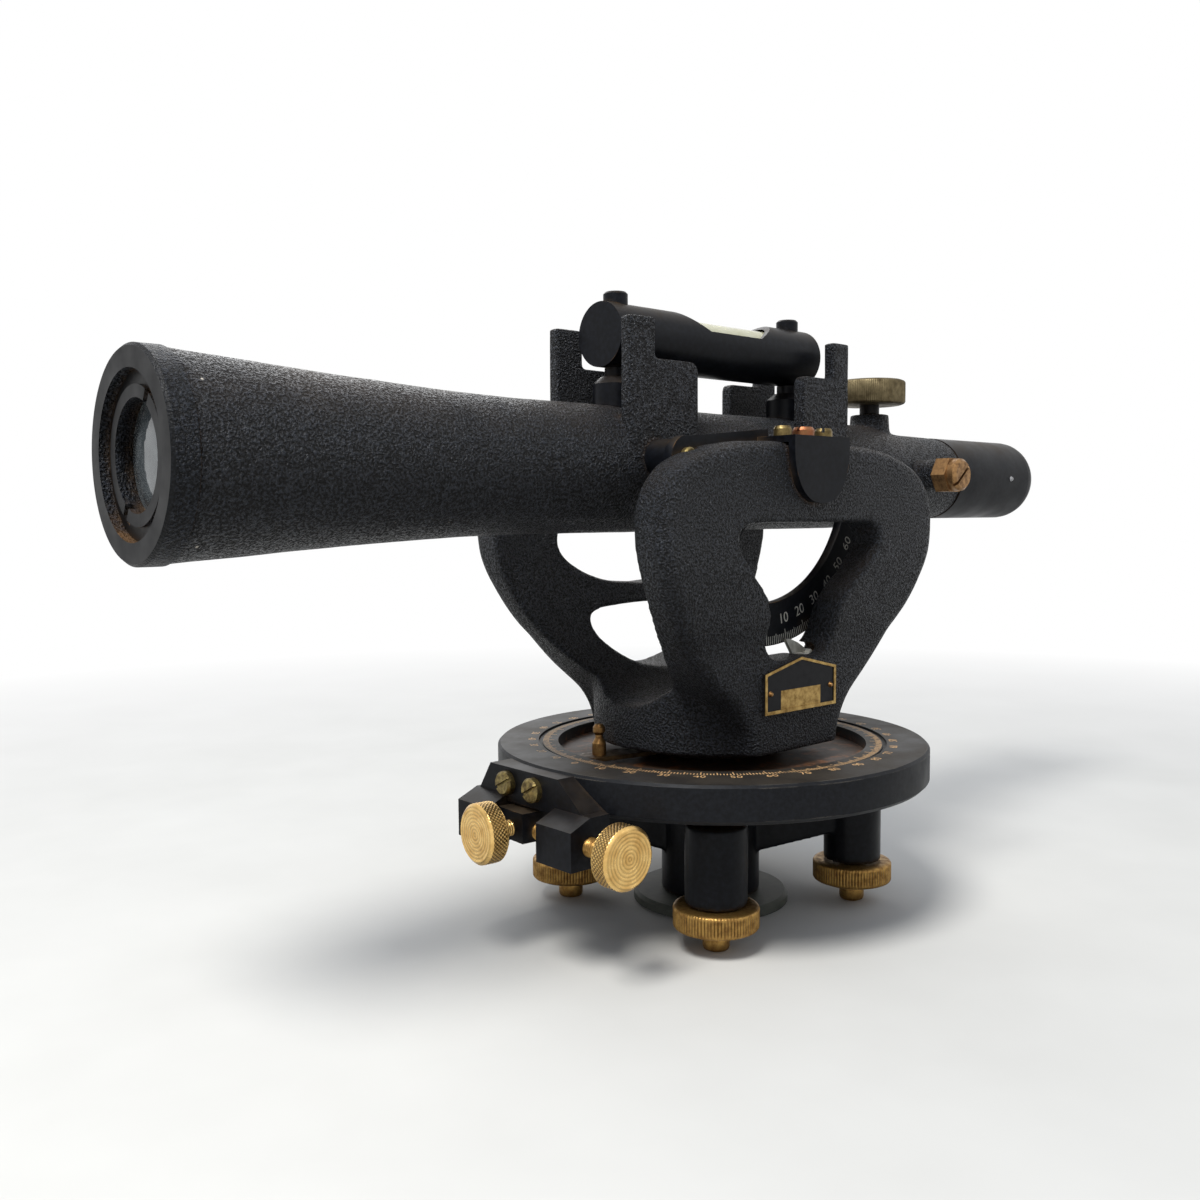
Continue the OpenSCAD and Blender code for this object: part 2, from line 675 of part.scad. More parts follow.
module standards() {
    color("#25272a")
        difference() {
            union() {
                yoke_block();
                // The U cut leaves only the round wall of this base
                translate([0, 0, yoke_bottom])
                    intersection() {
                        cylinder(r = base_r, h = base_h);
                        translate([-base_r - 1, 1 - foot_half_y, -1])
                            cube([2 * base_r + 2, 2 * foot_half_y - 2, base_h + 2]);
                    }
                translate([0, 0, circle_top - recess_d + 1])
                    cylinder(r = hub_r, h = recess_d + yoke_gap);
            }
            translate([-yoke_half_w - 1, 0, 0])
                rotate([90, 0, 90])
                    linear_extrude(2 * yoke_half_w + 2)
                        yoke_u();
            upright(-yoke_out - 1, -yoke_in + 22)
                polygon(mirrored(spline(near_hole, 4)));
            upright(yoke_in - 22, yoke_out + 1)
                polygon(mirrored(spline(far_upper, 4)));
            upright(yoke_in - 22, yoke_out + 1)
                polygon(mirrored(spline(far_lower, 4)));
            rod_y(-yoke_out - 1, yoke_out + 1, bush_r, 0, axis_z);
            for (s = [-1, 1])
                translate([-slot_half, s > 0 ? yoke_in - 1 : -yoke_out - 1, axis_z])
                    cube([2 * slot_half, yoke_out - yoke_in + 2, yoke_top + 2]);
            // Flat seats under the caps
            translate([-cap_half_w, -yoke_out - 1, seat_z])
                cube([2 * cap_half_w, 2 * yoke_out + 2, 3]);
            for (s = [-1, 1], x = [-cap_screw_gap, cap_screw_gap])
                translate([x, s * cap_y, seat_z - cap_thread_l])
                    cylinder(r = cap_thread_r, h = cap_thread_l + 1);
            // Relief for the lock screw's head
            rod_y(-yoke_in - lock_head_h - 1, -yoke_in + 1, lock_head_r + clear, -lock_x, axis_z + lock_z);
            // Flat seat and tapped hole for the arc's pointer
            translate([index_screw_x - 4.4, -arc_index_y - index_foot - clear, index_seat_z])
                cube([8.8, index_foot + 6, 4]);
            translate([index_screw_x, -index_screw_y, index_seat_z - 3])
                cylinder(r = index_thread_r, h = 4);
            // Room for the vertical arc to swing
            rod_y(-arc_y - arc_t - clear, -arc_y + clear, arc_out + 1.2, 0, axis_z);
            translate([0, 0, circle_top - recess_d])
                for (a = spindle_screw_angles)
                    rotate(a)
                        translate([spindle_r - 4, 0, 0])
                            cylinder(r = spindle_thread_r, h = 10);
        }
}

// Up to where the standards are as wide as the base
base_h = seat_z - 70.4 - yoke_bottom;
cap_thread_r = 1.5;
cap_thread_l = 4;
// The middle screw stops above the bush
oil_depth = yoke_top - bush_r - 0.2;
spindle_screw_angles = [0, 120, 240];
spindle_thread_r = 1.5;

module spindle() {
    hub_bottom = circle_top - recess_d + 1;
    color("#8b8d90")
        difference() {
            turned_z([[0, spindle_end + 1], [spindle_tip_r, spindle_end + 1], [spindle_tip_r, arm_top + 0.3],
                [spindle_r, arm_top + 0.4], [spindle_r, hub_bottom], [0, hub_bottom]]);
            for (a = spindle_screw_angles)
                rotate(a)
                    translate([spindle_r - 4, 0, arm_top])
                        cylinder(r = spindle_thread_r, h = 20);
        }
}

// Screws that hold the spindle up into the standards' hub
module spindle_screws() {
    color("#77797c")
        for (a = spindle_screw_angles)
            rotate(a)
                translate([spindle_r - 4, 0, arm_top + 1.5])
                    cylinder(r = spindle_thread_r, h = circle_top + 3 - arm_top);
}

index_angle = 168;
index_w = 9;
index_z = circle_top - recess_d + 1.3;
index_t = 1.4;
post_at = 42.3;
post_foot_r = 2.2;
post_h = 9.6;

module index_plate() {
    tip = recess_r - 0.6;
    color("#a4813f")
        rotate(index_angle)
            difference() {
                translate([0, 0, index_z])
                    linear_extrude(index_t)
                        polygon([[hub_r - 6, -index_w / 2], [tip - 4, -index_w / 2], [tip, -1], [tip, 1],
                            [tip - 4, index_w / 2], [hub_r - 6, index_w / 2]]);
                cylinder(r = hub_r, h = circle_top + 2);
                translate([post_at, 0, index_z - 1])
                    cylinder(r = post_foot_r - 0.8, h = 4);
            }
}

module index_post() {
    base = index_z + index_t;
    color("#b0894a")
        rotate(index_angle)
            translate([post_at, 0, 0]) {
                turned_z([[0, index_z], [post_foot_r - 0.8, index_z], [post_foot_r - 0.8, base],
                    [post_foot_r, base], [post_foot_r, base + 3.6], [1.3, base + 5.2], [1.2, base + 6.2],
                    [1.9, base + 7.2], [1.9, base + 8.6], [1.2, base + post_h], [0, base + post_h]]);
            }
}

plate_bottom = axis_z - 73.3;
plate_pin_x = plate_half_w - 2.6;
plate_pin_z = plate_bottom + 6.2;
plate_pin_r = 0.9;

module name_plate() {
    color("#a98a4a")
        difference() {
            upright(-foot_half_y - plate_t, -foot_half_y)
                polygon([[-plate_half_w, plate_bottom], [plate_half_w, plate_bottom],
                    [plate_half_w, plate_bottom + plate_h], [0, plate_bottom + plate_h + plate_peak],
                    [-plate_half_w, plate_bottom + plate_h]]);
            // Sunk black ground inside the raised border
            upright(-foot_half_y - plate_t - 1, -foot_half_y - plate_t * 0.6)
                polygon([[-plate_half_w + 1, plate_bottom + 1], [plate_half_w - 1, plate_bottom + 1],
                    [plate_half_w - 1, plate_bottom + plate_h - 0.6], [0, plate_bottom + plate_h + plate_peak - 0.8],
                    [-plate_half_w + 1, plate_bottom + plate_h - 0.6]]);
            for (x = [-plate_pin_x, plate_pin_x])
                rod_y(-foot_half_y - 3, -foot_half_y + 1, plate_pin_r - 0.3, x, plate_pin_z);
        }
}

module name_plate_pins() {
    color("#c2a25f")
        for (x = [-plate_pin_x, plate_pin_x])
            translate([x, -foot_half_y, plate_pin_z])
                rotate([90, 0, 0])
                    turned_z([[0, 0], [plate_pin_r - 0.3, 0], [plate_pin_r - 0.3, plate_t * 0.6],
                        [plate_pin_r, plate_t * 0.6], [plate_pin_r * 0.6, plate_t + 0.4], [0, plate_t + 0.5]]);
}

module trunnion_bushes() {
    color("#b18d45")
        for (s = [-1, 1])
            difference() {
                rod_y(s > 0 ? yoke_in : -yoke_out + 1, s > 0 ? yoke_out - 1 : -yoke_in, bush_r, 0, axis_z);
                rod_y(-yoke_out, yoke_out, trunnion_r + fit, 0, axis_z);
            }
}

shield_half = [[cap_half_w, seat_z + cap_t], [cap_half_w, axis_z + 4], [0.93 * cap_half_w, axis_z - 1],
    [0.72 * cap_half_w, axis_z - 0.6 * shield_drop], [0.38 * cap_half_w, axis_z - 0.92 * shield_drop],
    [0, axis_z - shield_drop]];

// Near cap; the far one is its mirror image
module trunnion_cap() {
    difference() {
        union() {
            translate([-cap_half_w, -yoke_out - shield_t, seat_z])
                cube([2 * cap_half_w, yoke_out + shield_t - yoke_in, cap_t]);
            upright(-yoke_out - shield_t, -yoke_out)
                polygon(mirrored(spline(shield_half, 4)));
            translate([fit - slot_half, -yoke_out, axis_z + 2])
                cube([2 * slot_half - 2 * fit, yoke_out - yoke_in, yoke_top - 2 + eps]);
        }
        rod_y(-yoke_out + 1, -yoke_in + 1, bush_r, 0, axis_z);
        rod_y(-yoke_out - eps, -yoke_out + 2, bush_r - 0.4, 0, axis_z);
        for (x = [-cap_screw_gap, 0, cap_screw_gap])
            translate([x, -cap_y, seat_z - 2])
                cylinder(r = cap_thread_r, h = 8);
    }
}

module trunnion_cap_near() {
    color("#1f2226")
        trunnion_cap();
}

module trunnion_cap_far() {
    color("#1f2226")
        mirror([0, 1, 0])
            trunnion_cap();
}

module cap_screws() {
    color("#b5904f")
        for (s = [-1, 1], i = [-1, 0, 1])
            translate([i * cap_screw_gap, s * cap_y, seat_z + cap_t]) {
                rotate(25 * i + 10)
                    slotted_head(i == 0 ? oil_screw_r : cap_screw_r, cap_screw_h);
                thread_l = cap_t + (i == 0 ? oil_depth : cap_thread_l);
                translate([0, 0, -thread_l])
                    cylinder(r = cap_thread_r, h = thread_l + eps);
            }
}

module lock_arm() {
    tail_z = axis_z + 9.4;
    knee_z = axis_z + lock_z + 3.7;
    color("#1f2226")
        difference() {
            union() {
                upright(-yoke_in, -lock_y)
                    polygon([[-8, tail_z + lock_bar / 2], [-lock_x + 2, knee_z + lock_bar / 2],
                        [-lock_x - 2, knee_z + lock_bar / 2 - 0.4], [-lock_x, axis_z + lock_z],
                        [-lock_x + 2, knee_z - lock_bar / 2], [-8, tail_z - lock_bar / 2]]);
                rod_y(-yoke_in, -lock_y, lock_pad_r, -lock_x, axis_z + lock_z);
            }
            rod_y(-yoke_in - 1, -lock_y + 1, lock_thread_r + fit, -lock_x, axis_z + lock_z);
        }
}

lock_thread_r = 1.6;
lock_head_r = 2.7;
lock_head_h = 1.8;

module lock_screw() {
    color("#b5904f")
        translate([-lock_x, -yoke_in - 0.1, axis_z + lock_z])
            rotate([90, 0, 0]) {
                rotate(20)
                    slotted_head(lock_head_r, lock_head_h);
                translate([0, 0, -lock_t - 6])
                    cylinder(r = lock_thread_r, h = lock_t + 6 + eps);
            }
}

// The pad stops just short of the tube that it locks
pad_end = max(wall_out, tube_r) + clear;
module lock_pad() {
    color("#1d1f22")
        difference() {
            rod_y(-lock_y + 0.1, -pad_end, lock_pad_r - 0.6, -lock_x, axis_z + lock_z);
            rod_y(-lock_y - 1, -lock_y + 6, lock_thread_r, -lock_x, axis_z + lock_z);
        }
}

arc_index_y = arc_y + arc_t + 0.8;
arc_index_t = 1.2;
index_seat_z = axis_z - 59;
index_foot = 6.4;
index_screw_x = 14.4;
index_screw_y = arc_index_y + 3.8;
index_thread_r = 0.9;

// White pointer that reads the arc, standing on the near hole's sill
module arc_index() {
    claw = [[index_screw_x - 3.8, 0], [index_screw_x - 4.4, 1.4], [index_screw_x - 5.8, 3.4],
        [index_screw_x - 7.6, 5.9], [index_screw_x - 5, 5.7], [index_screw_x - 1.4, 4.3],
        [index_screw_x + 1.8, 2.5], [index_screw_x + 3.4, 1], [index_screw_x + 3.8, 0]];
    color("#e9e6dc")
        difference() {
            union() {
                upright(-arc_index_y - arc_index_t, -arc_index_y)
                    translate([0, index_seat_z])
                        polygon(claw);
                translate([index_screw_x - 3.8, -arc_index_y - index_foot, index_seat_z])
                    cube([7.6, index_foot, arc_index_t]);
            }
            translate([index_screw_x, -index_screw_y, index_seat_z - 1])
                cylinder(r = index_thread_r, h = arc_index_t + 2);
        }
}

module arc_index_screw() {
    color("#d9d4c2")
        translate([index_screw_x, -index_screw_y, index_seat_z + arc_index_t]) {
            slotted_head(1.5, 1.2, 0.4);
            translate([0, 0, -arc_index_t - 3])
                cylinder(r = index_thread_r, h = arc_index_t + 3 + eps);
        }
}

// Bezel, taper, straight tube, eye end
tube_front_x = front_x - cell_l;
wall_front = [-52.7, -42.4, -24.5];
wall_rear = [25.2, 41.2, 49.5];
neck_end = sleeve_x + neck_l;
cross_bore_x = cross_x + 7;

module telescope_tube() {
    front_r = cell_r - 0.3;
    mid_x = (tube_front_x + taper_x) / 2;
    mid_r = (front_r + tube_r) / 2 - 0.35;
    color("#26282b")
        difference() {
            union() {
                turned_x([[-tube_front_x, 0], [-tube_front_x, front_r], [-mid_x, mid_r], [-taper_x - 10, tube_r + 0.5],
                    [-taper_x + 10, tube_r], [60, tube_r], [78, tube_r - 0.5], [100, sleeve_r + 0.5],
                    [sleeve_x, sleeve_r], [sleeve_x, neck_r], [neck_end, neck_r], [neck_end, 0]]);
                guard_walls();
                rod_y(-tube_boss_y, tube_boss_y, 11, 0, axis_z);
                translate([focus_x, 0, axis_z])
                    cylinder(r1 = focus_boss_r + 1.6, r2 = focus_boss_r, h = focus_boss_h);
                rod_y(-cross_boss_y, cross_boss_y, cross_boss_r, cross_x, axis_z);
            }
            turned_x([[-tube_front_x - 1, 0], [-tube_front_x - 1, spigot_out], [-tube_front_x + spigot_l, spigot_out],
                [-tube_front_x + spigot_l, cell_bore_r - 2.4], [-taper_x, slide_r + fit],
                [cross_bore_x, slide_r + fit], [cross_bore_x, 10.5], [neck_end + 1, 10.5], [neck_end + 1, 0]]);
            translate([focus_x, 0, axis_z + 8])
                cylinder(r = focus_shaft_r + fit, h = 40);
            translate([focus_x, 0, axis_z])
                cylinder(r = pinion_r + 1, h = slide_r + 1.4);
            for (s = [-1, 1])
                rod_y(s > 0 ? 8 : -30, s > 0 ? 30 : -8, cross_screw_r, cross_x, axis_z);
            rod_y(-30, -slide_r, trunnion_r, 0, axis_z);
            rod_y(slide_r, 30, trunnion_r, 0, axis_z);
            for (x = [-vial_front_x, vial_rear_x])
                translate([x, 0, axis_z + tube_r - stud_seat])
                    cylinder(r = stud_r, h = 10);
        }
}

spigot_out = 21.4;
spigot_l = 9;
cross_screw_r = 1.8;
stud_r = 2;
stud_seat = 3.5;

// Upright walls either side of the level, with prongs at their outer ends
module guard_walls() {
    for (s = [-1, 1]) {
        y0 = s > 0 ? wall_in : -wall_out;
        upright(y0, y0 + wall_t)
            polygon(concat([[wall_front[0], axis_z], [wall_front[2], axis_z]],
                [for (a = [0:15:90])
                    [wall_front[2] - 3 + 3 * cos(a), axis_z + shoulder_h - 3 + 3 * sin(a)]],
                [[wall_front[1], axis_z + shoulder_h],
                [wall_front[1], axis_z + prong_front_h], [wall_front[0], axis_z + prong_front_h]]));
        upright(y0, y0 + wall_t)
            polygon(concat([[wall_rear[2], axis_z], [wall_rear[2], axis_z + prong_rear_h],
                [wall_rear[1], axis_z + prong_rear_h], [wall_rear[1], axis_z + shoulder_h]],
                [for (a = [90:15:180])
                    [wall_rear[0] + 2 + 2 * cos(a), axis_z + shoulder_h - 2 + 2 * sin(a)]],
                [[wall_rear[0], axis_z]]));
    }
}

module trunnions() {
    color("#85878a")
        for (s = [-1, 1]) {
            rod_y(s > 0 ? slide_r + 1 : -yoke_out + 2, s > 0 ? yoke_out - 2 : -slide_r - 1, trunnion_r, 0, axis_z);
            if (s > 0)
                difference() {
                    rod_y(tube_boss_y, yoke_in - 1.5, 9, 0, axis_z);
                    rod_y(tube_boss_y - 1, yoke_in, trunnion_r - eps, 0, axis_z);
                }
        }
}

module objective_cell() {
    color("#17191b")
        turned_x([[-front_x, cell_bore_r], [-front_x, cell_r - 0.7], [-front_x + 0.8, cell_r],
            [-tube_front_x, cell_r], [-tube_front_x, spigot_out - fit], [-tube_front_x + spigot_l - 1, spigot_out - fit],
            [-tube_front_x + spigot_l - 1, cell_bore_r - 2.4], [-lens_back, cell_bore_r - 2.4],
            [-lens_back, cell_bore_r]]);
}

lens_back = tube_front_x - 4;
lens_sag = 1.6;

module objective_lens() {
    r = cell_bore_r - fit;
    color("#bcd6cf")
        turned_x(concat([for (a = [0:10:90])
            [-lens_back - lens_edge - lens_sag * cos(a), (ring_hole_r - clear) * sin(a)]],
            [[-lens_back - lens_edge, r], [-lens_back, r], [-lens_back, 0]]));
}

module lens_ring() {
    r = cell_bore_r - fit;
    x0 = -lens_back - lens_edge - ring_t;
    color("#1a1c1e")
        difference() {
            turned_x([[x0, ring_hole_r], [x0, r - 3.4], [x0 + 0.9, r - 3.4], [x0 + 0.9, r],
                [x0 + ring_t, r], [x0 + ring_t, ring_hole_r + 1.2], [x0 + 1.2, ring_hole_r]]);
            for (a = [30, 210])
                translate([x0 - 1, 0, axis_z])
                    rotate([a, 0, 0])
                        translate([0, -1.1, ring_hole_r - 1])
                            cube([2.7, 2.2, r - ring_hole_r - 1]);
        }
}

arc_hub_r = 9;
spoke_half = 4.4;
arc_screw_r = 1.1;

// Ring sector on two spokes, hung from the near trunnion
module vertical_arc() {
    color("#1c1e20")
        difference() {
            translate([0, -arc_y, axis_z])
                rotate([90, 90, 0]) {
                    rotate([0, 0, -arc_front])
                        rotate_extrude(angle = arc_front + arc_back)
                            translate([arc_in, 0])
                                square([arc_out - arc_in, arc_t]);
                    for (a = [-arc_front, arc_back - 2 * spoke_angle])
                        rotate(a + spoke_angle)
                            translate([0, -spoke_half, 0])
                                cube([(arc_in + arc_out) / 2, 2 * spoke_half, arc_t]);
                    cylinder(r = arc_hub_r, h = arc_t);
                }
            rod_y(-arc_y - arc_t - 1, -arc_y + 1, trunnion_r, 0, axis_z);
            for (a = [30, 150, 270])
                rod_y(-arc_y - arc_t - 1, -arc_y + 1, arc_screw_r, 7 * cos(a), axis_z + 7 * sin(a));
        }
}
spoke_angle = 6.2;

module arc_screws() {
    color("#7c7e80")
        for (a = [30, 150, 270])
            translate([7 * cos(a), -arc_y - arc_t, axis_z + 7 * sin(a)])
                rotate([90, 0, 0]) {
                    slotted_head(1.8, 1, 0.4);
                    translate([0, 0, -arc_t])
                        cylinder(r = arc_screw_r, h = arc_t + eps);
                }
}

focus_knob_z = axis_z + focus_boss_h + focus_neck;

module focus_knob() {
    color("#8c7a44")
        translate([focus_x, 0, focus_knob_z])
            difference() {
                turned_z([[0, 0], [focus_r - 0.8, 0], [focus_r, 0.8], [focus_r, focus_h - 1],
                    [focus_r - 1, focus_h], [0, focus_h]]);
                translate([0, 0, -1])
                    cylinder(r = focus_shaft_r, h = focus_h - 1);
            }
}

pinion_teeth = 12;
tooth_pitch = 2 * PI * pinion_r / pinion_teeth;
pinion_z = axis_z + 10.4;
pinion_h = 3;
tooth_h = 0.5;

module focus_shaft() {
    color("#7e8083")
        translate([focus_x, 0, 0]) {
            // Neck with a collar that rests on the boss
            translate([0, 0, axis_z + focus_boss_h + 0.3])
                cylinder(r = focus_collar_r, h = focus_neck - 0.3);
            translate([0, 0, pinion_z])
                cylinder(r = focus_shaft_r, h = focus_knob_z + focus_h - 2 - pinion_z);
            translate([0, 0, pinion_z])
                linear_extrude(pinion_h) {
                    circle(r = pinion_r - tooth_h);
                    for (i = [0:pinion_teeth - 1])
                        rotate((i + 0.5) * 360 / pinion_teeth)
                            translate([pinion_r - tooth_h - 0.4, -0.28])
                                square([tooth_h * 2 + 0.2, 0.56]);
                }
        }
}

slide_x1 = focus_x - pinion_r - 10;
slide_x0 = slide_x1 - slide_l;
slide_travel = 4 * tooth_pitch;

module focus_slide() {
    color("#9b824a")
        difference() {
            rod_x(slide_x0, slide_x1, slide_r, 0, axis_z);
            rod_x(slide_x0 + 4, slide_x1 + 1, slide_r - 1.8, 0, axis_z);
            rod_x(slide_x0 - 1, slide_x0 + 5, slide_r - 4, 0, axis_z);
            rod_x(slide_x0 + 1.5, slide_x0 + 5, slide_r - 3, 0, axis_z);
            rack_strip(1);
        }
}

rack_back = 2.2;
rack_seat = 12;
module rack_strip(beyond) {
    x0 = slide_x1 - rack_seat;
    translate([x0, pinion_r + tooth_h, pinion_z])
        cube([focus_x + slide_travel + 4 - x0 + beyond, rack_back, pinion_h]);
}

// Toothed strip on the slide's top, its teeth towards the pinion
module focus_rack() {
    color("#a8894a")
        intersection() {
            rod_x(slide_x1 - rack_seat - 1, cross_bore_x, slide_r - 0.3, 0, axis_z);
            union() {
                rack_strip(0);
                for (i = [-5:4])
                    translate([focus_x + (i + 0.5) * tooth_pitch + tooth_pitch / 2 - 0.28, pinion_r - tooth_h + 0.15,
                        pinion_z])
                        cube([0.56, 2 * tooth_h, pinion_h]);
            }
        }
}

module focus_lens() {
    color("#c4d8d0")
        rod_x(slide_x0 + 1.5, slide_x0 + 4, slide_r - 3, 0, axis_z);
}

module crosshair_ring() {
    color("#a58a4c")
        difference() {
            rod_x(cross_x - 2.5, cross_x + 2.5, cross_r, 0, axis_z);
            rod_x(cross_x - 3, cross_x + 3, cross_r - 3.4, 0, axis_z);
            for (s = [-1, 1])
                rod_y(s > 0 ? cross_r - 3 : -20, s > 0 ? 20 : 3 - cross_r, cross_screw_r, cross_x, axis_z);
        }
}

module crosshair_nuts() {
    color("#b08a48")
        for (s = [-1, 1])
            difference() {
                translate([cross_x, s > 0 ? cross_boss_y + cross_hex_t : -cross_boss_y, axis_z])
                    rotate([90, 0, 0])
                        cylinder(r = cross_hex / cos(30), h = cross_hex_t, $fn = 6);
                rod_y(-40, 40, cross_screw_r, cross_x, axis_z);
            }
}

cross_head_r = 5.8;
cross_head_h = 3.6;

module crosshair_screws() {
    color("#9f7c42")
        for (s = [-1, 1])
            mirror([0, s > 0 ? 1 : 0, 0])
                translate([cross_x, -cross_boss_y - cross_hex_t, axis_z])
                    rotate([90, 0, 0]) {
                        rotate(40)
                            slotted_head(cross_head_r, cross_head_h, 1.1);
                        translate([0, 0, -cross_hex_t - cross_boss_y + cross_r - 2])
                            cylinder(r = cross_screw_r, h = cross_hex_t + cross_boss_y - cross_r + 2 + eps);
                    }
}

eye_wall = 3;
lens_room = 8;
pin_x = 163;
pin_r = 1.1;

module eyepiece_sleeve() {
    x0 = sleeve_x + 0.3;
    color("#202326")
        difference() {
            turned_x(concat([[x0, neck_r + fit], [x0, sleeve_r]],
                [for (a = [90:-10:0])
                    [rear_x - eye_round * (1 - cos(a)), sleeve_r - eye_round * (1 - sin(a))]],
                [[rear_x - 0.7, eye_r], [rear_x - eye_wall, eye_r], [rear_x - eye_wall, 8],
                [rear_x - eye_wall - lens_room, 8], [rear_x - eye_wall - lens_room, 11], [neck_end + 1, 11],
                [neck_end + 1, neck_r + fit]]));
            rod_y(-sleeve_r - 1, -sleeve_r + 2, pin_r, pin_x, axis_z);
        }
}

module eyepiece_lens() {
    color("#b9d0c8")
        rod_x(rear_x - eye_wall - 4.5, rear_x - eye_wall, 8 - fit, 0, axis_z);
}

module eyepiece_pin() {
    color("#55585c")
        translate([pin_x, -sleeve_r + 2, axis_z])
            rotate([90, 0, 0])
                turned_z([[0, 0], [pin_r, 0], [pin_r, 2], [0.6, 2.7], [0, 2.8]]);
}

vial_z = axis_z + vial_rise;
vial_x0 = -vial_front_x - vial_overhang;
vial_x1 = vial_rear_x + vial_overhang;
window_x = 3;
window_slope = 11;
glass_wall = 0.4;

module level_tube() {
    bore_x0 = -vial_front_x + stud_r + 2.5;
    bore_x1 = vial_rear_x - stud_r - 2.5;
    flat_z = vial_z + vial_r - window_cut;
    color("#2a2c2f")
        difference() {
            rod_x(vial_x0, vial_x1, vial_r, 0, vial_z);
            rod_x(bore_x0, bore_x1, glass_r + glass_wall, 0, vial_z);
            upright(-vial_r - 1, vial_r + 1)
                polygon([[window_x - window_half - window_slope, vial_z + vial_r],
                    [window_x - window_half, flat_z], [window_x + window_half, flat_z],
                    [window_x + window_half + window_slope, vial_z + vial_r],
                    [window_x + window_half + window_slope, vial_z + vial_r + 2],
                    [window_x - window_half - window_slope, vial_z + vial_r + 2]]);
            for (x = [-vial_front_x, vial_rear_x])
                translate([x, 0, vial_z - vial_r - 1])
                    cylinder(r = stud_r + fit, h = 2 * vial_r + 2);
        }
}

module level_glass() {
    color("#c8cf9a")
        rod_x(-vial_front_x + stud_r + 3, vial_rear_x - stud_r - 3, glass_r, 0, vial_z - glass_wall);
}

module level_studs() {
    color("#6c6e70")
        for (x = [-vial_front_x, vial_rear_x])
            translate([x, 0, axis_z + tube_r - stud_seat])
                cylinder(r = stud_r, h = vial_rise + vial_r - tube_r + stud_seat + top_nut_h - 1);
}

module level_top_nuts() {
    color("#26282a")
        for (x = [-vial_front_x, vial_rear_x])
            difference() {
                translate([x, 0, vial_z + vial_r - 0.9])
                    turned_z([[0, 0], [top_nut_r, 0], [top_nut_r, top_nut_h + 0.3], [top_nut_r - 0.6, top_nut_h + 0.9],
                        [0, top_nut_h + 0.9]]);
                rod_x(vial_x0 - 1, vial_x1 + 1, vial_r, 0, vial_z);
                translate([x, 0, vial_z])
                    cylinder(r = stud_r, h = vial_r + top_nut_h - 1);
            }
}

module level_low_nuts() {
    gap_h = vial_rise - vial_r - tube_r;
    color("#2b2d30")
        for (x = [-vial_front_x, vial_rear_x])
            difference() {
                translate([x, 0, axis_z + tube_r - 1.6])
                    turned_z([[0, 0], [low_nut_r, 0], [low_nut_r, low_nut_h - 0.6], [low_nut_r - 2.4, low_nut_h + 1.6],
                        [stud_r + 1.4, low_nut_h + 1.6], [stud_r + 1.4, gap_h + 1.7], [0, gap_h + 1.7]]);
                rod_x(-80, 60, tube_r, 0, axis_z);
                rod_x(vial_x0 - 1, vial_x1 + 1, vial_r, 0, vial_z);
                translate([x, 0, axis_z])
                    cylinder(r = stud_r, h = vial_rise);
            }
}

leveling_head();
foot_plate();
leveling_screw_1();
leveling_screw_2();
leveling_screw_3();
leveling_screw_4();
horizontal_circle();
tangent_bracket();
bracket_screws();
clamp_arm();
clamp_pin();
clamp_screw();
tangent_stem();
tangent_knob();
spring_plunger();
plunger_spring();
plunger_plug();
standards();
spindle();
spindle_screws();
index_plate();
index_post();
name_plate();
name_plate_pins();
trunnion_bushes();
trunnion_cap_near();
trunnion_cap_far();
cap_screws();
lock_arm();
lock_screw();
lock_pad();
arc_index();
arc_index_screw();
telescope_tube();
trunnions();
objective_cell();
objective_lens();
lens_ring();
vertical_arc();
arc_screws();
focus_knob();
focus_shaft();
focus_slide();
focus_rack();
focus_lens();
crosshair_ring();
crosshair_nuts();
crosshair_screws();
eyepiece_sleeve();
eyepiece_lens();
eyepiece_pin();
level_tube();
level_glass();
level_studs();
level_top_nuts();
level_low_nuts();
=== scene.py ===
import math

import bmesh
import bpy
from mathutils import Matrix, Vector


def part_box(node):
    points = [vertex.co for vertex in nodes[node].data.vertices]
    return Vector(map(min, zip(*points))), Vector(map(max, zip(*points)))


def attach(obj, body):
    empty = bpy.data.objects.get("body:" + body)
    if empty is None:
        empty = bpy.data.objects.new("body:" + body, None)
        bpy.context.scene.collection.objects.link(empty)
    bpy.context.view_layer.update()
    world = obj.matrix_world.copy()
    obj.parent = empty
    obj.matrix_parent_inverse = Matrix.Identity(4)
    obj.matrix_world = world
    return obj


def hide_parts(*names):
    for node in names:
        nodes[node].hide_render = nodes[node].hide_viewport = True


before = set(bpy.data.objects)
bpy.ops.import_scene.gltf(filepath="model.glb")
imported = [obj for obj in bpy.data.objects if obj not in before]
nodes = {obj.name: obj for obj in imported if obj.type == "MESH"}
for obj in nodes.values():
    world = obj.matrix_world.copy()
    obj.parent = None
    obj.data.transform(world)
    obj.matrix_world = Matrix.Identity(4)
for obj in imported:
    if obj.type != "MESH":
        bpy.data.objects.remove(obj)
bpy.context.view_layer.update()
mm = 0.001
print("frame loaded with", len(nodes), "nodes")

# Where the photograph was taken from, in the frame's metres
view = {
    "place": (-0.27778, -0.25796, 0.1273),
    "right": (0.74695, -0.66484, -0.00682),
    "up": (0.05380, 0.05021, 0.99729),
    "forward": (0.66270, 0.74529, -0.07327),
    "lens": 34.6,
    "sensor": 36.0,
}


def placeCamera():
    data = bpy.data.cameras.new("camera")
    data.lens = view["lens"]
    data.sensor_width = view["sensor"]
    data.clip_start = 0.01
    camera = bpy.data.objects.new("camera", data)
    columns = [Vector(view["right"]), Vector(view["up"]), -Vector(view["forward"])]
    turned = Matrix([[c[row] for c in columns] for row in range(3)]).to_4x4()
    camera.matrix_world = Matrix.Translation(view["place"]) @ turned
    bpy.context.scene.collection.objects.link(camera)
    bpy.context.scene.camera = camera


placeCamera()


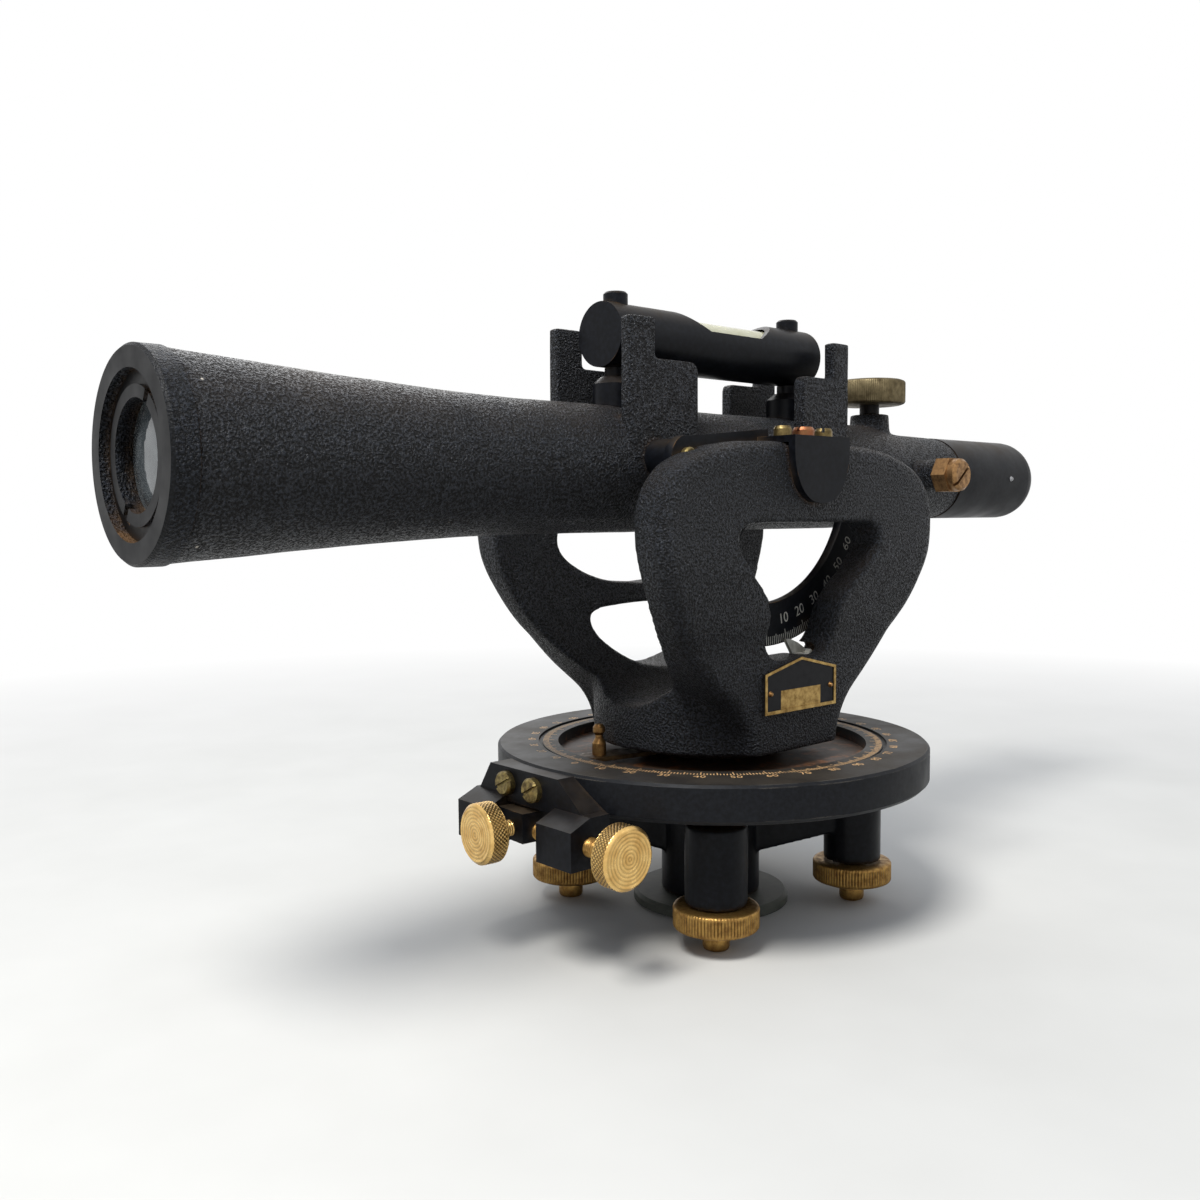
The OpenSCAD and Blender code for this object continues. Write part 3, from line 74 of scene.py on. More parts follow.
def srgb(code):
    # sRGB hex text to the linear values that the shaders take
    parts = [int(code[i:i + 2], 16) / 255 for i in (1, 3, 5)]
    return tuple(p / 12.92 if p <= 0.04045 else ((p + 0.055) / 1.055) ** 2.4 for p in parts) + (1.0,)


def addNode(tree, kind, settings=None, links=None):
    node = tree.nodes.new("ShaderNode" + kind)
    for key, value in (settings or {}).items():
        if isinstance(key, str) and hasattr(node, key):
            setattr(node, key, value)
        else:
            node.inputs[key].default_value = value
    for key, source in (links or {}).items():
        tree.links.new(source, node.inputs[key])
    return node


def startMaterial(name, settings):
    material = bpy.data.materials.new(name)
    material.use_nodes = True
    tree = material.node_tree
    tree.nodes.clear()
    shader = addNode(tree, "BsdfPrincipled", settings)
    addNode(tree, "OutputMaterial", {}, {"Surface": shader.outputs[0]})
    place = addNode(tree, "TexCoord")
    return material, tree, shader, place


def grain(tree, place, size, detail=3.0, rough=0.55):
    # Cloudy pattern whose lumps are size millimetres across
    settings = {"Scale": 1 / (size * mm), "Detail": detail, "Roughness": rough}
    return addNode(tree, "TexNoise", settings, {"Vector": place.outputs["Object"]}).outputs[0]


def span(tree, source, low, high, start=0.0, end=1.0):
    settings = {"From Min": low, "From Max": high, "To Min": start, "To Max": end}
    return addNode(tree, "MapRange", settings, {"Value": source}).outputs[0]


def reckon(tree, operation, *sources):
    return addNode(tree, "Math", {"operation": operation}, dict(enumerate(sources))).outputs[0]


def both(tree, first, second):
    return reckon(tree, "MULTIPLY", first, second)


def axes(tree, vector):
    # The x, y and z of a vector
    return addNode(tree, "SeparateXYZ", {}, {0: vector}).outputs


def layOver(tree, amount, under, code):
    links = {0: amount}
    settings = {"data_type": "RGBA", 7: srgb(code)}
    if isinstance(under, str):
        settings[6] = srgb(under)
    else:
        links[6] = under
    return addNode(tree, "Mix", settings, links).outputs[2]


def facingUp(tree, place, low=0.4, high=0.95):
    # 1 where the surface faces up, 0 where it stands
    return span(tree, axes(tree, place.outputs["Normal"])[2], low, high)


def dress(tree, shader, colour, rough=None):
    tree.links.new(colour, shader.inputs["Base Color"])
    if rough:
        tree.links.new(rough, shader.inputs["Roughness"])


# How far two normals agree on flat metal and on a sharp edge
rubbed = {"flat": 0.995, "sharp": 0.86, "fade": 0.1}


def wornEdges(tree, width, pattern, least):
    # Sharp edges rubbed through, more where the pattern is high
    rounded = addNode(tree, "Bevel", {"samples": 4, "Radius": width * mm})
    flat = addNode(tree, "NewGeometry")
    links = {0: rounded.outputs[0], 1: flat.outputs["Normal"]}
    same = addNode(tree, "VectorMath", {"operation": "DOT_PRODUCT"}, links)
    edge = span(tree, same.outputs["Value"], rubbed["flat"], rubbed["sharp"])
    return both(tree, edge, span(tree, pattern, least, least + rubbed["fade"]))


def relief(tree, shader, height, depth, strength=1.0):
    settings = {"Strength": strength, "Distance": depth * mm}
    bump = addNode(tree, "Bump", settings, {"Height": height})
    tree.links.new(bump.outputs[0], shader.inputs["Normal"])


# How open a corner is where dust starts to lie and where it lies thickest, and how much of it covers
settled = {"open": 0.62, "closed": 0.3, "thin": 0.15, "thick": 0.8}


def dusted(tree, colour, look, pattern):
    # Brown dust that has settled where two surfaces meet, dustReach millimetres out of the corner
    settings = {"samples": 4, "Distance": look["dustReach"] * mm}
    openness = addNode(tree, "AmbientOcclusion", settings).outputs["AO"]
    near = span(tree, openness, settled["open"], settled["closed"])
    cover = span(tree, pattern, 0.4, 0.6, settled["thin"], settled["thick"])
    return layOver(tree, both(tree, near, cover), colour, look["dust"])


def chipped(tree, place, colour, look):
    # Chips and dust specks: a dot in some cells of a loose pattern
    apart, size, rest = look["chipApart"], look["chipSize"], 1 - look["chipShare"]
    cell = addNode(tree, "TexVoronoi", {"Scale": 1 / (apart * mm)}, {"Vector": place.outputs["Object"]})
    dot = span(tree, cell.outputs["Distance"], size / apart, 0.6 * size / apart)
    pick = addNode(tree, "SeparateColor", {}, {0: cell.outputs["Color"]})
    chips = both(tree, dot, span(tree, pick.outputs[0], rest, rest + 0.02))
    return layOver(tree, chips, colour, look["chip"])


def wrinkleEnamel():
    # Black enamel stoved until it wrinkles: small worm-like lumps whose wet tops catch the light, their tops
    # also given a painted highlight in the lighter crest colour
    look = {"lump": 0.66, "depth": 1.4, "valley": "#030304", "crest": "#2b2e34", "film": "#43372b",
            "dust": "#5d442d", "dustReach": 5.0,
            "chip": "#a8a196", "chipApart": 11.0, "chipSize": 0.45, "chipShare": 0.16}
    settings = {"Roughness": 0.42, "Specular IOR Level": 0.22}
    material, tree, shader, place = startMaterial("wrinkle_enamel", settings)
    lumps = grain(tree, place, look["lump"], 2.0, 0.55)
    broad = grain(tree, place, 22.0, 2.0)
    # Painted highlight: the lump tops take the lighter crest colour, the hollows the valley colour
    crestHighlight = span(tree, lumps, 0.45, 0.64)
    colour = layOver(tree, crestHighlight, look["valley"], look["crest"])
    film = both(tree, facingUp(tree, place, 0.3, 1.0), span(tree, broad, 0.35, 0.75, 0.0, 0.4))
    colour = layOver(tree, film, colour, look["film"])
    colour = dusted(tree, colour, look, broad)
    colour = chipped(tree, place, colour, look)
    dress(tree, shader, colour, span(tree, lumps, 0.4, 0.62, 0.7, 0.26))
    relief(tree, shader, lumps, look["depth"])
    return material


def satinEnamel(name="satin_enamel", dust=0.34):
    # Sprayed black enamel, rubbed smooth by hands: an even satin sheen, brass showing at the edges
    look = {"base": "#08090c", "sheen": "#111318", "wear": "#7a5c3a", "wearWidth": 0.35, "worn": 0.6,
            "film": "#554838", "dust": "#4d3f2f", "dustReach": 4.0,
            "chip": "#7d766b", "chipApart": 9.0, "chipSize": 0.3, "chipShare": 0.12}
    settings = {"Roughness": 0.36, "Specular IOR Level": 0.11}
    material, tree, shader, place = startMaterial(name, settings)
    fine = grain(tree, place, 1.6, 3.0)
    broad = grain(tree, place, 14.0, 3.0)
    colour = layOver(tree, span(tree, fine, 0.35, 0.7), look["base"], look["sheen"])
    film = both(tree, facingUp(tree, place), span(tree, broad, 0.42, 0.7, 0.6 * dust * dust, dust))
    colour = layOver(tree, film, colour, look["film"])
    colour = dusted(tree, colour, look, broad)
    edge = wornEdges(tree, look["wearWidth"], broad, look["worn"])
    colour = layOver(tree, edge, colour, look["wear"])
    colour = chipped(tree, place, colour, look)
    dress(tree, shader, colour, span(tree, broad, 0.3, 0.7, 0.3, 0.5))
    relief(tree, shader, fine, 0.03, 0.6)
    return material


def cellFinish():
    # Objective cell: its side is wrinkled like the barrel, with a painted highlight on its lump tops; its
    # turned front is rubbed smooth
    look = {"lump": 0.66, "depth": 1.2, "front": "#08090b", "side": "#2b2e34",
            "ledgeDust": "#574029", "ledgeHeights": (132, 124), "dust": "#4b3a28", "dustReach": 3.5,
            "chip": "#7d766b", "chipApart": 9.0, "chipSize": 0.3, "chipShare": 0.12}
    settings = {"Roughness": 0.4, "Specular IOR Level": 0.13}
    material, tree, shader, place = startMaterial("cell_enamel", settings)
    lumps = grain(tree, place, look["lump"], 2.0, 0.55)
    broad = grain(tree, place, 9.0, 3.0)
    normal = axes(tree, place.outputs["Normal"])
    side = span(tree, normal[0], -0.75, -0.35)
    # Painted highlight: on the side the lump tops take the lighter side colour
    colour = layOver(tree, both(tree, side, span(tree, lumps, 0.45, 0.64)), look["front"], look["side"])
    upper, lowest = look["ledgeHeights"]
    lower = span(tree, axes(tree, place.outputs["Object"])[2], upper * mm, lowest * mm)
    inward = span(tree, normal[2], 0.3, 0.8)
    ledge = both(tree, both(tree, lower, inward), span(tree, broad, 0.35, 0.6))
    colour = layOver(tree, ledge, colour, look["ledgeDust"])
    colour = dusted(tree, colour, look, broad)
    colour = chipped(tree, place, colour, look)
    dress(tree, shader, colour, span(tree, broad, 0.3, 0.7, 0.34, 0.52))
    relief(tree, shader, both(tree, side, lumps), look["depth"])
    return material


def circleFinish():
    # Blackened bronze disc, turned: dull near-black rim, brown dirt and rust in the sunk middle
    look = {"land": 52.0, "landFade": 0.5, "floor": 50.4, "top": 52.9, "groove": (55.3, 55.6, 56.6, 56.9),
            "base": "#0b0c0f", "sheen": "#15171b", "film": "#3a342c", "dirt": "#3f2e22", "rust": "#6a4327",
            "grooveDark": "#0c0b0b", "wear": "#5b564e", "wearWidth": 0.5}
    settings = {"Roughness": 0.46, "Specular IOR Level": 0.14}
    material, tree, shader, place = startMaterial("blackened_bronze", settings)
    x, y, z = axes(tree, place.outputs["Object"])
    flat = addNode(tree, "CombineXYZ", {}, {0: x, 1: y})
    radius = addNode(tree, "VectorMath", {"operation": "LENGTH"}, {0: flat.outputs[0]}).outputs["Value"]
    fine = grain(tree, place, 1.2, 3.0)
    broad = grain(tree, place, 16.0, 4.0, 0.6)
    colour = layOver(tree, span(tree, fine, 0.35, 0.7), look["base"], look["sheen"])
    top = both(tree, facingUp(tree, place, 0.8, 0.95), span(tree, broad, 0.3, 0.62, 0.1, 0.6))
    colour = layOver(tree, top, colour, look["film"])
    sunk = span(tree, z, look["top"] * mm, look["floor"] * mm)
    outer = look["land"] + look["landFade"]
    inside = both(tree, sunk, span(tree, radius, outer * mm, look["land"] * mm))
    dirt = both(tree, inside, span(tree, broad, 0.3, 0.6, 0.45, 0.95))
    colour = layOver(tree, dirt, colour, look["dirt"])
    rust = both(tree, inside, span(tree, grain(tree, place, 5.0, 4.0, 0.65), 0.52, 0.66))
    colour = layOver(tree, rust, colour, look["rust"])
    start, full, fading, end = look["groove"]
    groove = both(tree, span(tree, radius, start * mm, full * mm), span(tree, radius, end * mm, fading * mm))
    # Upward faces in the groove are painted near-black, darker than the film on the top around them
    grooveDark = both(tree, groove, facingUp(tree, place, 0.6, 0.9))
    colour = layOver(tree, grooveDark, colour, look["grooveDark"])
    edge = wornEdges(tree, look["wearWidth"], broad, 0.5)
    colour = layOver(tree, edge, colour, look["wear"])
    dress(tree, shader, colour, span(tree, broad, 0.3, 0.7, 0.38, 0.6))
    relief(tree, shader, fine, 0.03, 0.7)
    return material


def brightBrass():
    # Turned and knurled brass, still bright: painted shade, with some grease, darkens the knurls and the
    # grooves between the turning marks
    material, tree, shader, place = startMaterial("turned_brass", {"Roughness": 0.27, "Metallic": 1.0})
    stain = grain(tree, place, 3.5, 4.0, 0.6)
    colour = layOver(tree, span(tree, stain, 0.4, 0.75), "#e9c37d", "#c29653")
    # Painted shade with some grease: the higher a vertex's cut shade, the darker brown it is painted
    cutShade = addNode(tree, "Attribute", {"attribute_name": "cutShade"}).outputs["Fac"]
    grooveShadeAndGrease = span(tree, cutShade, 0.15, 0.95, 0.0, 0.88)
    colour = layOver(tree, grooveShadeAndGrease, colour, "#38260f")
    dress(tree, shader, colour, span(tree, stain, 0.35, 0.7, 0.24, 0.38))
    return material


def startBrass(name, clean, tarnish, grime="#2c2216", rough=0.42, spread=2.2):
    # Old brass with its lacquer gone: brown tarnish in patches, darker brown in the hollows and corners
    material, tree, shader, place = startMaterial(name, {"Roughness": rough, "Metallic": 0.9})
    patch = grain(tree, place, spread, 4.0, 0.62)
    colour = layOver(tree, span(tree, patch, 0.38, 0.66), clean, tarnish)
    # Hollows and creases, where pointiness is low, are painted the darker hollow tone
    dirt = span(tree, addNode(tree, "NewGeometry").outputs["Pointiness"], 0.49, 0.43)
    colour = layOver(tree, dirt, colour, grime)
    dress(tree, shader, colour, span(tree, patch, 0.35, 0.7, rough - 0.08, rough + 0.2))
    relief(tree, shader, patch, 0.03, 0.6)
    return material, tree, shader, place


def agedBrass(name, clean, tarnish, **look):
    return startBrass(name, clean, tarnish, **look)[0]


def capScrewBrass():
    # The two outer cap screws are olive brass, the middle one has gone coppery
    look = {"copper": "#8f5a3d", "middleEdge": (3.6, 3.4)}
    material, tree, shader, place = startBrass("cap_screw_brass", "#7d6c45", "#4f4329")
    away = reckon(tree, "ABSOLUTE", axes(tree, place.outputs["Object"])[0])
    outer, inner = look["middleEdge"]
    middle = span(tree, away, outer * mm, inner * mm)
    old = shader.inputs["Base Color"].links[0].from_socket
    copper = both(tree, middle, span(tree, grain(tree, place, 1.5), 0.3, 0.6, 0.55, 0.95))
    dress(tree, shader, layOver(tree, copper, old, look["copper"]))
    return material


def plateFinish():
    # Etched brass plate: raised bare border and lower field, black enamel in the sunk ground
    look = {"ground": "#141416", "specular": 0.12,
            "sunk": (0.15, 0.25), "side": (9.4, 9.6), "upper": (6.6, 6.8)}
    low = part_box("name_plate")[0]
    material, tree, shader, place = startBrass("etched_plate", "#b0935a", "#806538", rough=0.36)
    old = shader.inputs["Base Color"].links[0].from_socket
    x, y, z = axes(tree, place.outputs["Object"])
    shader.inputs["Specular IOR Level"].default_value = look["specular"]
    sunk = span(tree, y, low.y + look["sunk"][0] * mm, low.y + look["sunk"][1] * mm)
    side = span(tree, reckon(tree, "ABSOLUTE", x), look["side"][0] * mm, look["side"][1] * mm)
    upper = span(tree, z, low.z + look["upper"][0] * mm, low.z + look["upper"][1] * mm)
    ground = both(tree, sunk, reckon(tree, "MAXIMUM", side, upper))
    dress(tree, shader, layOver(tree, ground, old, look["ground"]))
    tree.links.new(span(tree, ground, 0.0, 1.0, 0.9, 0.0), shader.inputs["Metallic"])
    return material


def turnedSteel():
    # Machined steel kept in oil: grey, a little brown where it has dried
    material, tree, shader, place = startMaterial("turned_steel", {"Roughness": 0.34, "Metallic": 1.0})
    patch = grain(tree, place, 2.6, 4.0)
    colour = layOver(tree, span(tree, patch, 0.45, 0.72), "#8c8d90", "#5f5448")
    dress(tree, shader, colour)
    relief(tree, shader, patch, 0.02, 0.5)
    return material


def greyPaint():
    # Brushed grey-green machine paint under years of dust
    material, tree, shader, place = startMaterial("machine_paint", {"Roughness": 0.6})
    patch = grain(tree, place, 8.0, 4.0, 0.6)
    colour = layOver(tree, span(tree, patch, 0.35, 0.7), "#343831", "#4b4d44")
    dress(tree, shader, colour)
    relief(tree, shader, grain(tree, place, 2.0), 0.05, 0.7)
    return material


def whiteEnamel():
    # White enamel on the pointer, yellowed, with grime round its edges
    material, tree, shader, place = startMaterial("white_enamel", {"Roughness": 0.4})
    patch = grain(tree, place, 2.4, 4.0)
    colour = layOver(tree, span(tree, patch, 0.45, 0.75), "#cfcbbf", "#a39d8e")
    edge = wornEdges(tree, 0.3, patch, 0.35)
    dress(tree, shader, layOver(tree, edge, colour, "#4a463f"))
    return material


def opticalGlass():
    # Polished crown glass with a thin haze of dust, so part of the light scatters at the face
    settings = {"Roughness": 0.04, "IOR": 1.52, "Transmission Weight": 0.35}
    material, tree, shader, place = startMaterial("crown_glass", settings)
    haze = grain(tree, place, 6.0, 4.0, 0.6)
    colour = layOver(tree, span(tree, haze, 0.35, 0.7), "#4f5456", "#6d7274")
    dress(tree, shader, colour)
    return material


def vialGlass():
    # Sealed glass vial full of pale yellow spirit, softly lit from within
    settings = {"Roughness": 0.08, "IOR": 1.5, "Transmission Weight": 0.45}
    material, tree, shader, place = startMaterial("spirit_vial", settings)
    haze = grain(tree, place, 5.0)
    colour = layOver(tree, span(tree, haze, 0.3, 0.7), "#cfcba6", "#dedcc0")
    dress(tree, shader, colour)
    return material


def markPaint(name, fresh, faded):
    # Paint wiped into engraved marks, half rubbed out again
    material, tree, shader, place = startMaterial(name, {"Roughness": 0.6})
    gone = span(tree, grain(tree, place, 1.7, 4.0, 0.65), 0.5, 0.7)
    dress(tree, shader, layOver(tree, gone, fresh, faded))
    return material


brassBright = brightBrass()
brassWarm = agedBrass("levelling_brass", "#a68348", "#79592f", grime="#38291a")
brassOlive = agedBrass("olive_brass", "#6c6148", "#4e4430", grime="#28221a", rough=0.5, spread=3.0)

finishes = {
    wrinkleEnamel(): ["standards", "telescope_tube"],
    satinEnamel(): ["leveling_head", "tangent_bracket", "trunnion_cap_near", "trunnion_cap_far", "lock_arm",
                    "lock_pad", "focus_shaft", "vertical_arc", "eyepiece_sleeve", "level_tube",
                    "level_top_nuts", "level_low_nuts"],
    satinEnamel("dusty_enamel", 0.85): ["clamp_arm"],
    cellFinish(): ["objective_cell", "lens_ring"],
    circleFinish(): ["horizontal_circle"],
    brassBright: ["clamp_screw", "tangent_stem", "tangent_knob"],
    brassWarm: ["leveling_screw_1", "leveling_screw_2", "leveling_screw_3", "leveling_screw_4",
                "plunger_plug", "trunnion_bushes", "focus_slide", "focus_rack", "crosshair_ring"],
    brassOlive: ["focus_knob"],
    agedBrass("screw_brass", "#90804f", "#574a33", spread=1.4): ["bracket_screws", "lock_screw"],
    agedBrass("crosshair_brass", "#98754d", "#684d32", spread=1.8): ["crosshair_nuts", "crosshair_screws"],
    agedBrass("post_brass", "#8f6f42", "#6e4d2c", spread=1.6): ["index_post", "name_plate_pins"],
    agedBrass("index_brass", "#5d4a31", "#3b2d1f", spread=3.0): ["index_plate"],
    capScrewBrass(): ["cap_screws"],
    plateFinish(): ["name_plate"],
    turnedSteel(): ["clamp_pin", "spring_plunger", "plunger_spring", "spindle", "spindle_screws", "trunnions",
                    "arc_screws", "eyepiece_pin", "level_studs"],
    greyPaint(): ["foot_plate"],
    whiteEnamel(): ["arc_index", "arc_index_screw"],
    opticalGlass(): ["objective_lens", "focus_lens", "eyepiece_lens"],
    vialGlass(): ["level_glass"],
}
for material, names in finishes.items():
    for name in names:
        nodes[name].data.materials.clear()
        nodes[name].data.materials.append(material)
print("materials ready")

# In mm: vertices closer than weldGap are one, and a point within sideGap of the full radius is on the side
weldGap = 0.001
sideGap = 0.05

# Castings: sand-cast skins with soft corners and a faint unevenness, which only takes metal away.
# Voxels, waves and clouds are sizes in mm.
casting = {"quickCoarser": 2, "smoothing": 0.5, "cloud": 14, "inward": 0.9}
castings = {
    "standards": {"voxel": 0.8, "smoothing": 22, "wave": 0.35},
    "telescope_tube": {"voxel": 0.6, "smoothing": 7, "wave": 0.25},
    "leveling_head": {"voxel": 0.7, "smoothing": 4, "wave": 0.15},
}


def castSkin(name, look):
    piece = nodes[name]
    piece.modifiers.new("weld", "WELD").merge_threshold = weldGap * mm
    remesh = piece.modifiers.new("remesh", "REMESH")
    remesh.mode = "VOXEL"
    remesh.voxel_size = look["voxel"] * 1 * mm
    remesh.use_smooth_shade = True
    smooth = piece.modifiers.new("smooth", "SMOOTH")
    smooth.factor = casting["smoothing"]
    smooth.iterations = look["smoothing"]
    clouds = bpy.data.textures.new(name + " unevenness", "CLOUDS")
    clouds.noise_scale = casting["cloud"] * mm
    wave = piece.modifiers.new("unevenness", "DISPLACE")
    wave.texture = clouds
    wave.texture_coords = "LOCAL"
    wave.strength = look["wave"] * mm
    wave.mid_level = casting["inward"]


for name, look in castings.items():
    castSkin(name, look)

# Machined pieces: width in mm of the small round left on each corner sharper than the angle in degrees
corner = {"flatter": 0.5, "sharper": 32, "segments": 2}
cornerRounds = {
    "tangent_bracket": 0.45,
    "clamp_arm": 0.4,
    "trunnion_cap_near": 0.3,
    "trunnion_cap_far": 0.3,
    "lock_arm": 0.5,
    "vertical_arc": 0.25,
    "index_plate": 0.2,
    "focus_rack": 0.3,
}


def roundCorners(name, width):
    piece = nodes[name]
    piece.modifiers.new("weld", "WELD").merge_threshold = weldGap * mm
    planar = piece.modifiers.new("planar", "DECIMATE")
    planar.decimate_type = "DISSOLVE"
    planar.angle_limit = math.radians(corner["flatter"])
    bevel = piece.modifiers.new("corner", "BEVEL")
    bevel.limit_method = "ANGLE"
    bevel.angle_limit = math.radians(corner["sharper"])
    bevel.width = width * mm
    bevel.segments = corner["segments"]
    bevel.harden_normals = True


for name, width in cornerRounds.items():
    roundCorners(name, width)
print("castings and machined corners done")


def ridge(t):
    # 0 in a groove and 1 on the crest between two grooves
    return 1 - abs(2 * (t % 1) - 1)


def finely(profile, step):
    # The same outline with a point about every step millimetres
    points = [profile[0]]
    for start, end in zip(profile, profile[1:]):
        count = max(1, round(math.dist(start, end) / step))
        points += [tuple(a + (b - a) * i / count for a, b in zip(start, end)) for i in range(1, count + 1)]
    return points


def turn(mesh, profile, segments, place, cut=None):
    # Turns a profile of (radius, height) in mm; cut says how deep the surface lies under it, and how dark its
    # painted groove shade is
    shade = mesh.verts.layers.float.get("cutShade") or mesh.verts.layers.float.new("cutShade")
    rings = []
    for radius, height in profile:
        count = 1 if radius < weldGap else segments
        ring = []
        for i in range(count):
            angle = 2 * math.pi * i / segments
            depth, dark = cut(angle, radius, height) if cut and count > 1 else (0, 0)
            r = radius - depth
            vert = mesh.verts.new(place @ (Vector((r * math.cos(angle), r * math.sin(angle), height)) * mm))
            vert[shade] = dark
            ring.append(vert)
        rings.append(ring)
    for low, high in zip(rings, rings[1:]):
        for i in range(segments):
            j = (i + 1) % segments
            corners = [low[i % len(low)], low[j % len(low)], high[j % len(high)], high[i % len(high)]]
            mesh.faces.new(list(dict.fromkeys(corners)))


def roundedEnds(radius, base, top, edge):
    # The lower and the upper edge of a disc, from points of (distance from its side, distance from its end)
    lower = [(radius - inset, base + rise) for inset, rise in edge]
    upper = [(radius - inset, top - rise) for inset, rise in reversed(edge)]
    return lower, upper


def addPiece(name, mesh, material, body, angle=38):
    bmesh.ops.recalc_face_normals(mesh, faces=mesh.faces)
    data = bpy.data.meshes.new(name)
    mesh.to_mesh(data)
    mesh.free()
    data.materials.append(material)
    data.shade_smooth()
    data.set_sharp_from_angle(angle=math.radians(angle))
    piece = bpy.data.objects.new(name, data)
    bpy.context.scene.collection.objects.link(piece)
    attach(piece, body)
    return piece


# Knurled brass knobs of the clamp screw and the tangent screw, and their threaded stems, in mm
knob = {
    "radius": 8.9,
    "height": 6.5,
    "chamfer": 0.9,
    "hubRadius": 2.5,
    "rimDrop": 1.1,
    "lipOut": 0.5,
    "lipDrop": 0.35,
    "faceRadius": 7.7,
    "faceEdge": 0.4,
    "diamonds": 46,
    "pitch": 1.22,
    "knurlDepth": 0.3,
    "turningPitch": 1.05,
    "turningDepth": 0.13,
    "turningShade": 0.5,
    "turningTop": 0.02,
    "turningSteps": 8,
    "centreDrop": 0.1,
    "segments": 322,
    "step": 0.2,
    "threadPitch": 0.8,
    "threadDepth": 0.3,
    "threadShade": 0.75,
    "stemSegments": 48,
    "stemSteps": 8,
    "tipRadius": 0.5,
    "stemChamfer": 0.4,
    "stemRunout": 0.2,
}
clampStem = {"radius": 2.4, "swing": -3.8, "back": 84.9, "height": 37.1, "length": 18.9, "tip": 0.8,
             "inside": 0.5}
tangentStem = {"radius": 2.8, "tip": 1.3, "inside": 1.5}


def knurl(angle, radius, height):
    if radius < knob["radius"] - sideGap:
        if height < knob["height"] - knob["faceEdge"]:
            return 0, 0
        return 0, knob["turningShade"] * ridge(radius / knob["turningPitch"])
    around = angle * knob["diamonds"] / (2 * math.pi)
    along = height / knob["pitch"]
    low = 1 - min(ridge(around + along), ridge(around - along))
    return knob["knurlDepth"] * low, low


def knobProfile():
    radius, height, chamfer, face = knob["radius"], knob["height"], knob["chamfer"], knob["faceRadius"]
    back = [(knob["hubRadius"], 0), (radius - chamfer, 0), (radius, chamfer)]
    lip = (face + knob["lipOut"], height - knob["lipDrop"])
    front = [(radius, height - knob["rimDrop"]), lip, (face, height)]
    outline = finely(back + front, knob["step"])
    rings = int(face / knob["turningPitch"] * knob["turningSteps"])
    for i in range(1, rings):
        r = face * (1 - i / rings)
        groove = knob["turningDepth"] * ridge(r / knob["turningPitch"])
        outline.append((r, height - knob["turningTop"] - groove))
    return [(0, 0)] + outline + [(0, height - knob["centreDrop"])]


def threadedStem(mesh, place, stem, start):
    # A screw thread from start, in mm along the knob's axis, to a little inside the knob
    radius, tip, end = stem["radius"], stem["tip"], stem["inside"]

    def thread(angle, r, height):
        low = 1 - ridge(height / knob["threadPitch"] - angle / (2 * math.pi))
        return (knob["threadDepth"] * low, knob["threadShade"] * low) if r > radius - sideGap else (0, 0)

    outline = [(0, start - tip), (radius * knob["tipRadius"], start - tip)]
    outline += [(radius - knob["stemChamfer"], start)]
    threaded = [(radius, start + knob["stemRunout"]), (radius, end)]
    outline += finely(threaded, knob["threadPitch"] / knob["stemSteps"]) + [(0, end)]
    turn(mesh, outline, knob["stemSegments"], place, thread)


def clampKnob():
    swing = Matrix.Rotation(math.radians(clampStem["swing"]), 4, "Z")
    face = Matrix.Rotation(math.radians(-90), 4, "Y")
    place = swing @ Matrix.Translation((-clampStem["back"] * mm, 0, clampStem["height"] * mm)) @ face
    mesh = bmesh.new()
    turn(mesh, knobProfile(), knob["segments"], place, knurl)
    threadedStem(mesh, place, clampStem, clampStem["tip"] - clampStem["length"])
    piece = addPiece("clamp_knob_brass", mesh, brassBright, "clamp_knob", 60)
    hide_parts("clamp_screw")


def tangentKnob():
    low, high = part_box("tangent_knob")
    middle = (low + high) / 2
    face = Matrix.Rotation(math.radians(90), 4, "X")
    mesh = bmesh.new()
    place = Matrix.Translation((middle.x, high.y, middle.z)) @ face
    turn(mesh, knobProfile(), knob["segments"], place, knurl)
    piece = addPiece("tangent_knob_brass", mesh, brassBright, "tangent_knob", 60)
    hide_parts("tangent_knob")
    back, tip = high.y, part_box("tangent_stem")[1].y
    mesh = bmesh.new()
    threadedStem(mesh, place, tangentStem, (back - tip) / mm + tangentStem["tip"])
    piece = addPiece("tangent_stem_thread", mesh, brassWarm, "tangent_stem", 60)
    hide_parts("tangent_stem")


clampKnob()
tangentKnob()

# Levelling screws with straight-knurled heads; footEdge, headEdge and dish are points of the outline
levelling = {
    "headRadius": 12.7,
    "headStart": 6.6,
    "headHeight": 6.9,
    "grooves": 80,
    "grooveDepth": 0.34,
    "grooveCrest": 1.6,
    "fade": 6,
    "headEdge": [(1.2, 0), (0.3, 0.4), (0, 0.9)],
    "dish": [(8.0, 0), (7.6, 0.3), (6.4, 0.3)],
    "footRadius": 4.0,
    "footEdge": [(1.2, 0), (0.3, 0.4), (0, 1.2)],
    "neck": (0.9, 0.8),
    "threadRadius": 4.0,
    "segments": 384,
    "step": 0.5,
}


def straightKnurl(angle, radius, height):
    if radius < levelling["headRadius"] - sideGap:
        return 0, 0
    along = (height - levelling["headStart"]) / levelling["headHeight"]
    faded = min(1, levelling["fade"] * along, levelling["fade"] * (1 - along))
    crest = ridge(angle * levelling["grooves"] / (2 * math.pi))
    low = faded * (1 - min(1, levelling["grooveCrest"] * crest))
    return levelling["grooveDepth"] * low, low


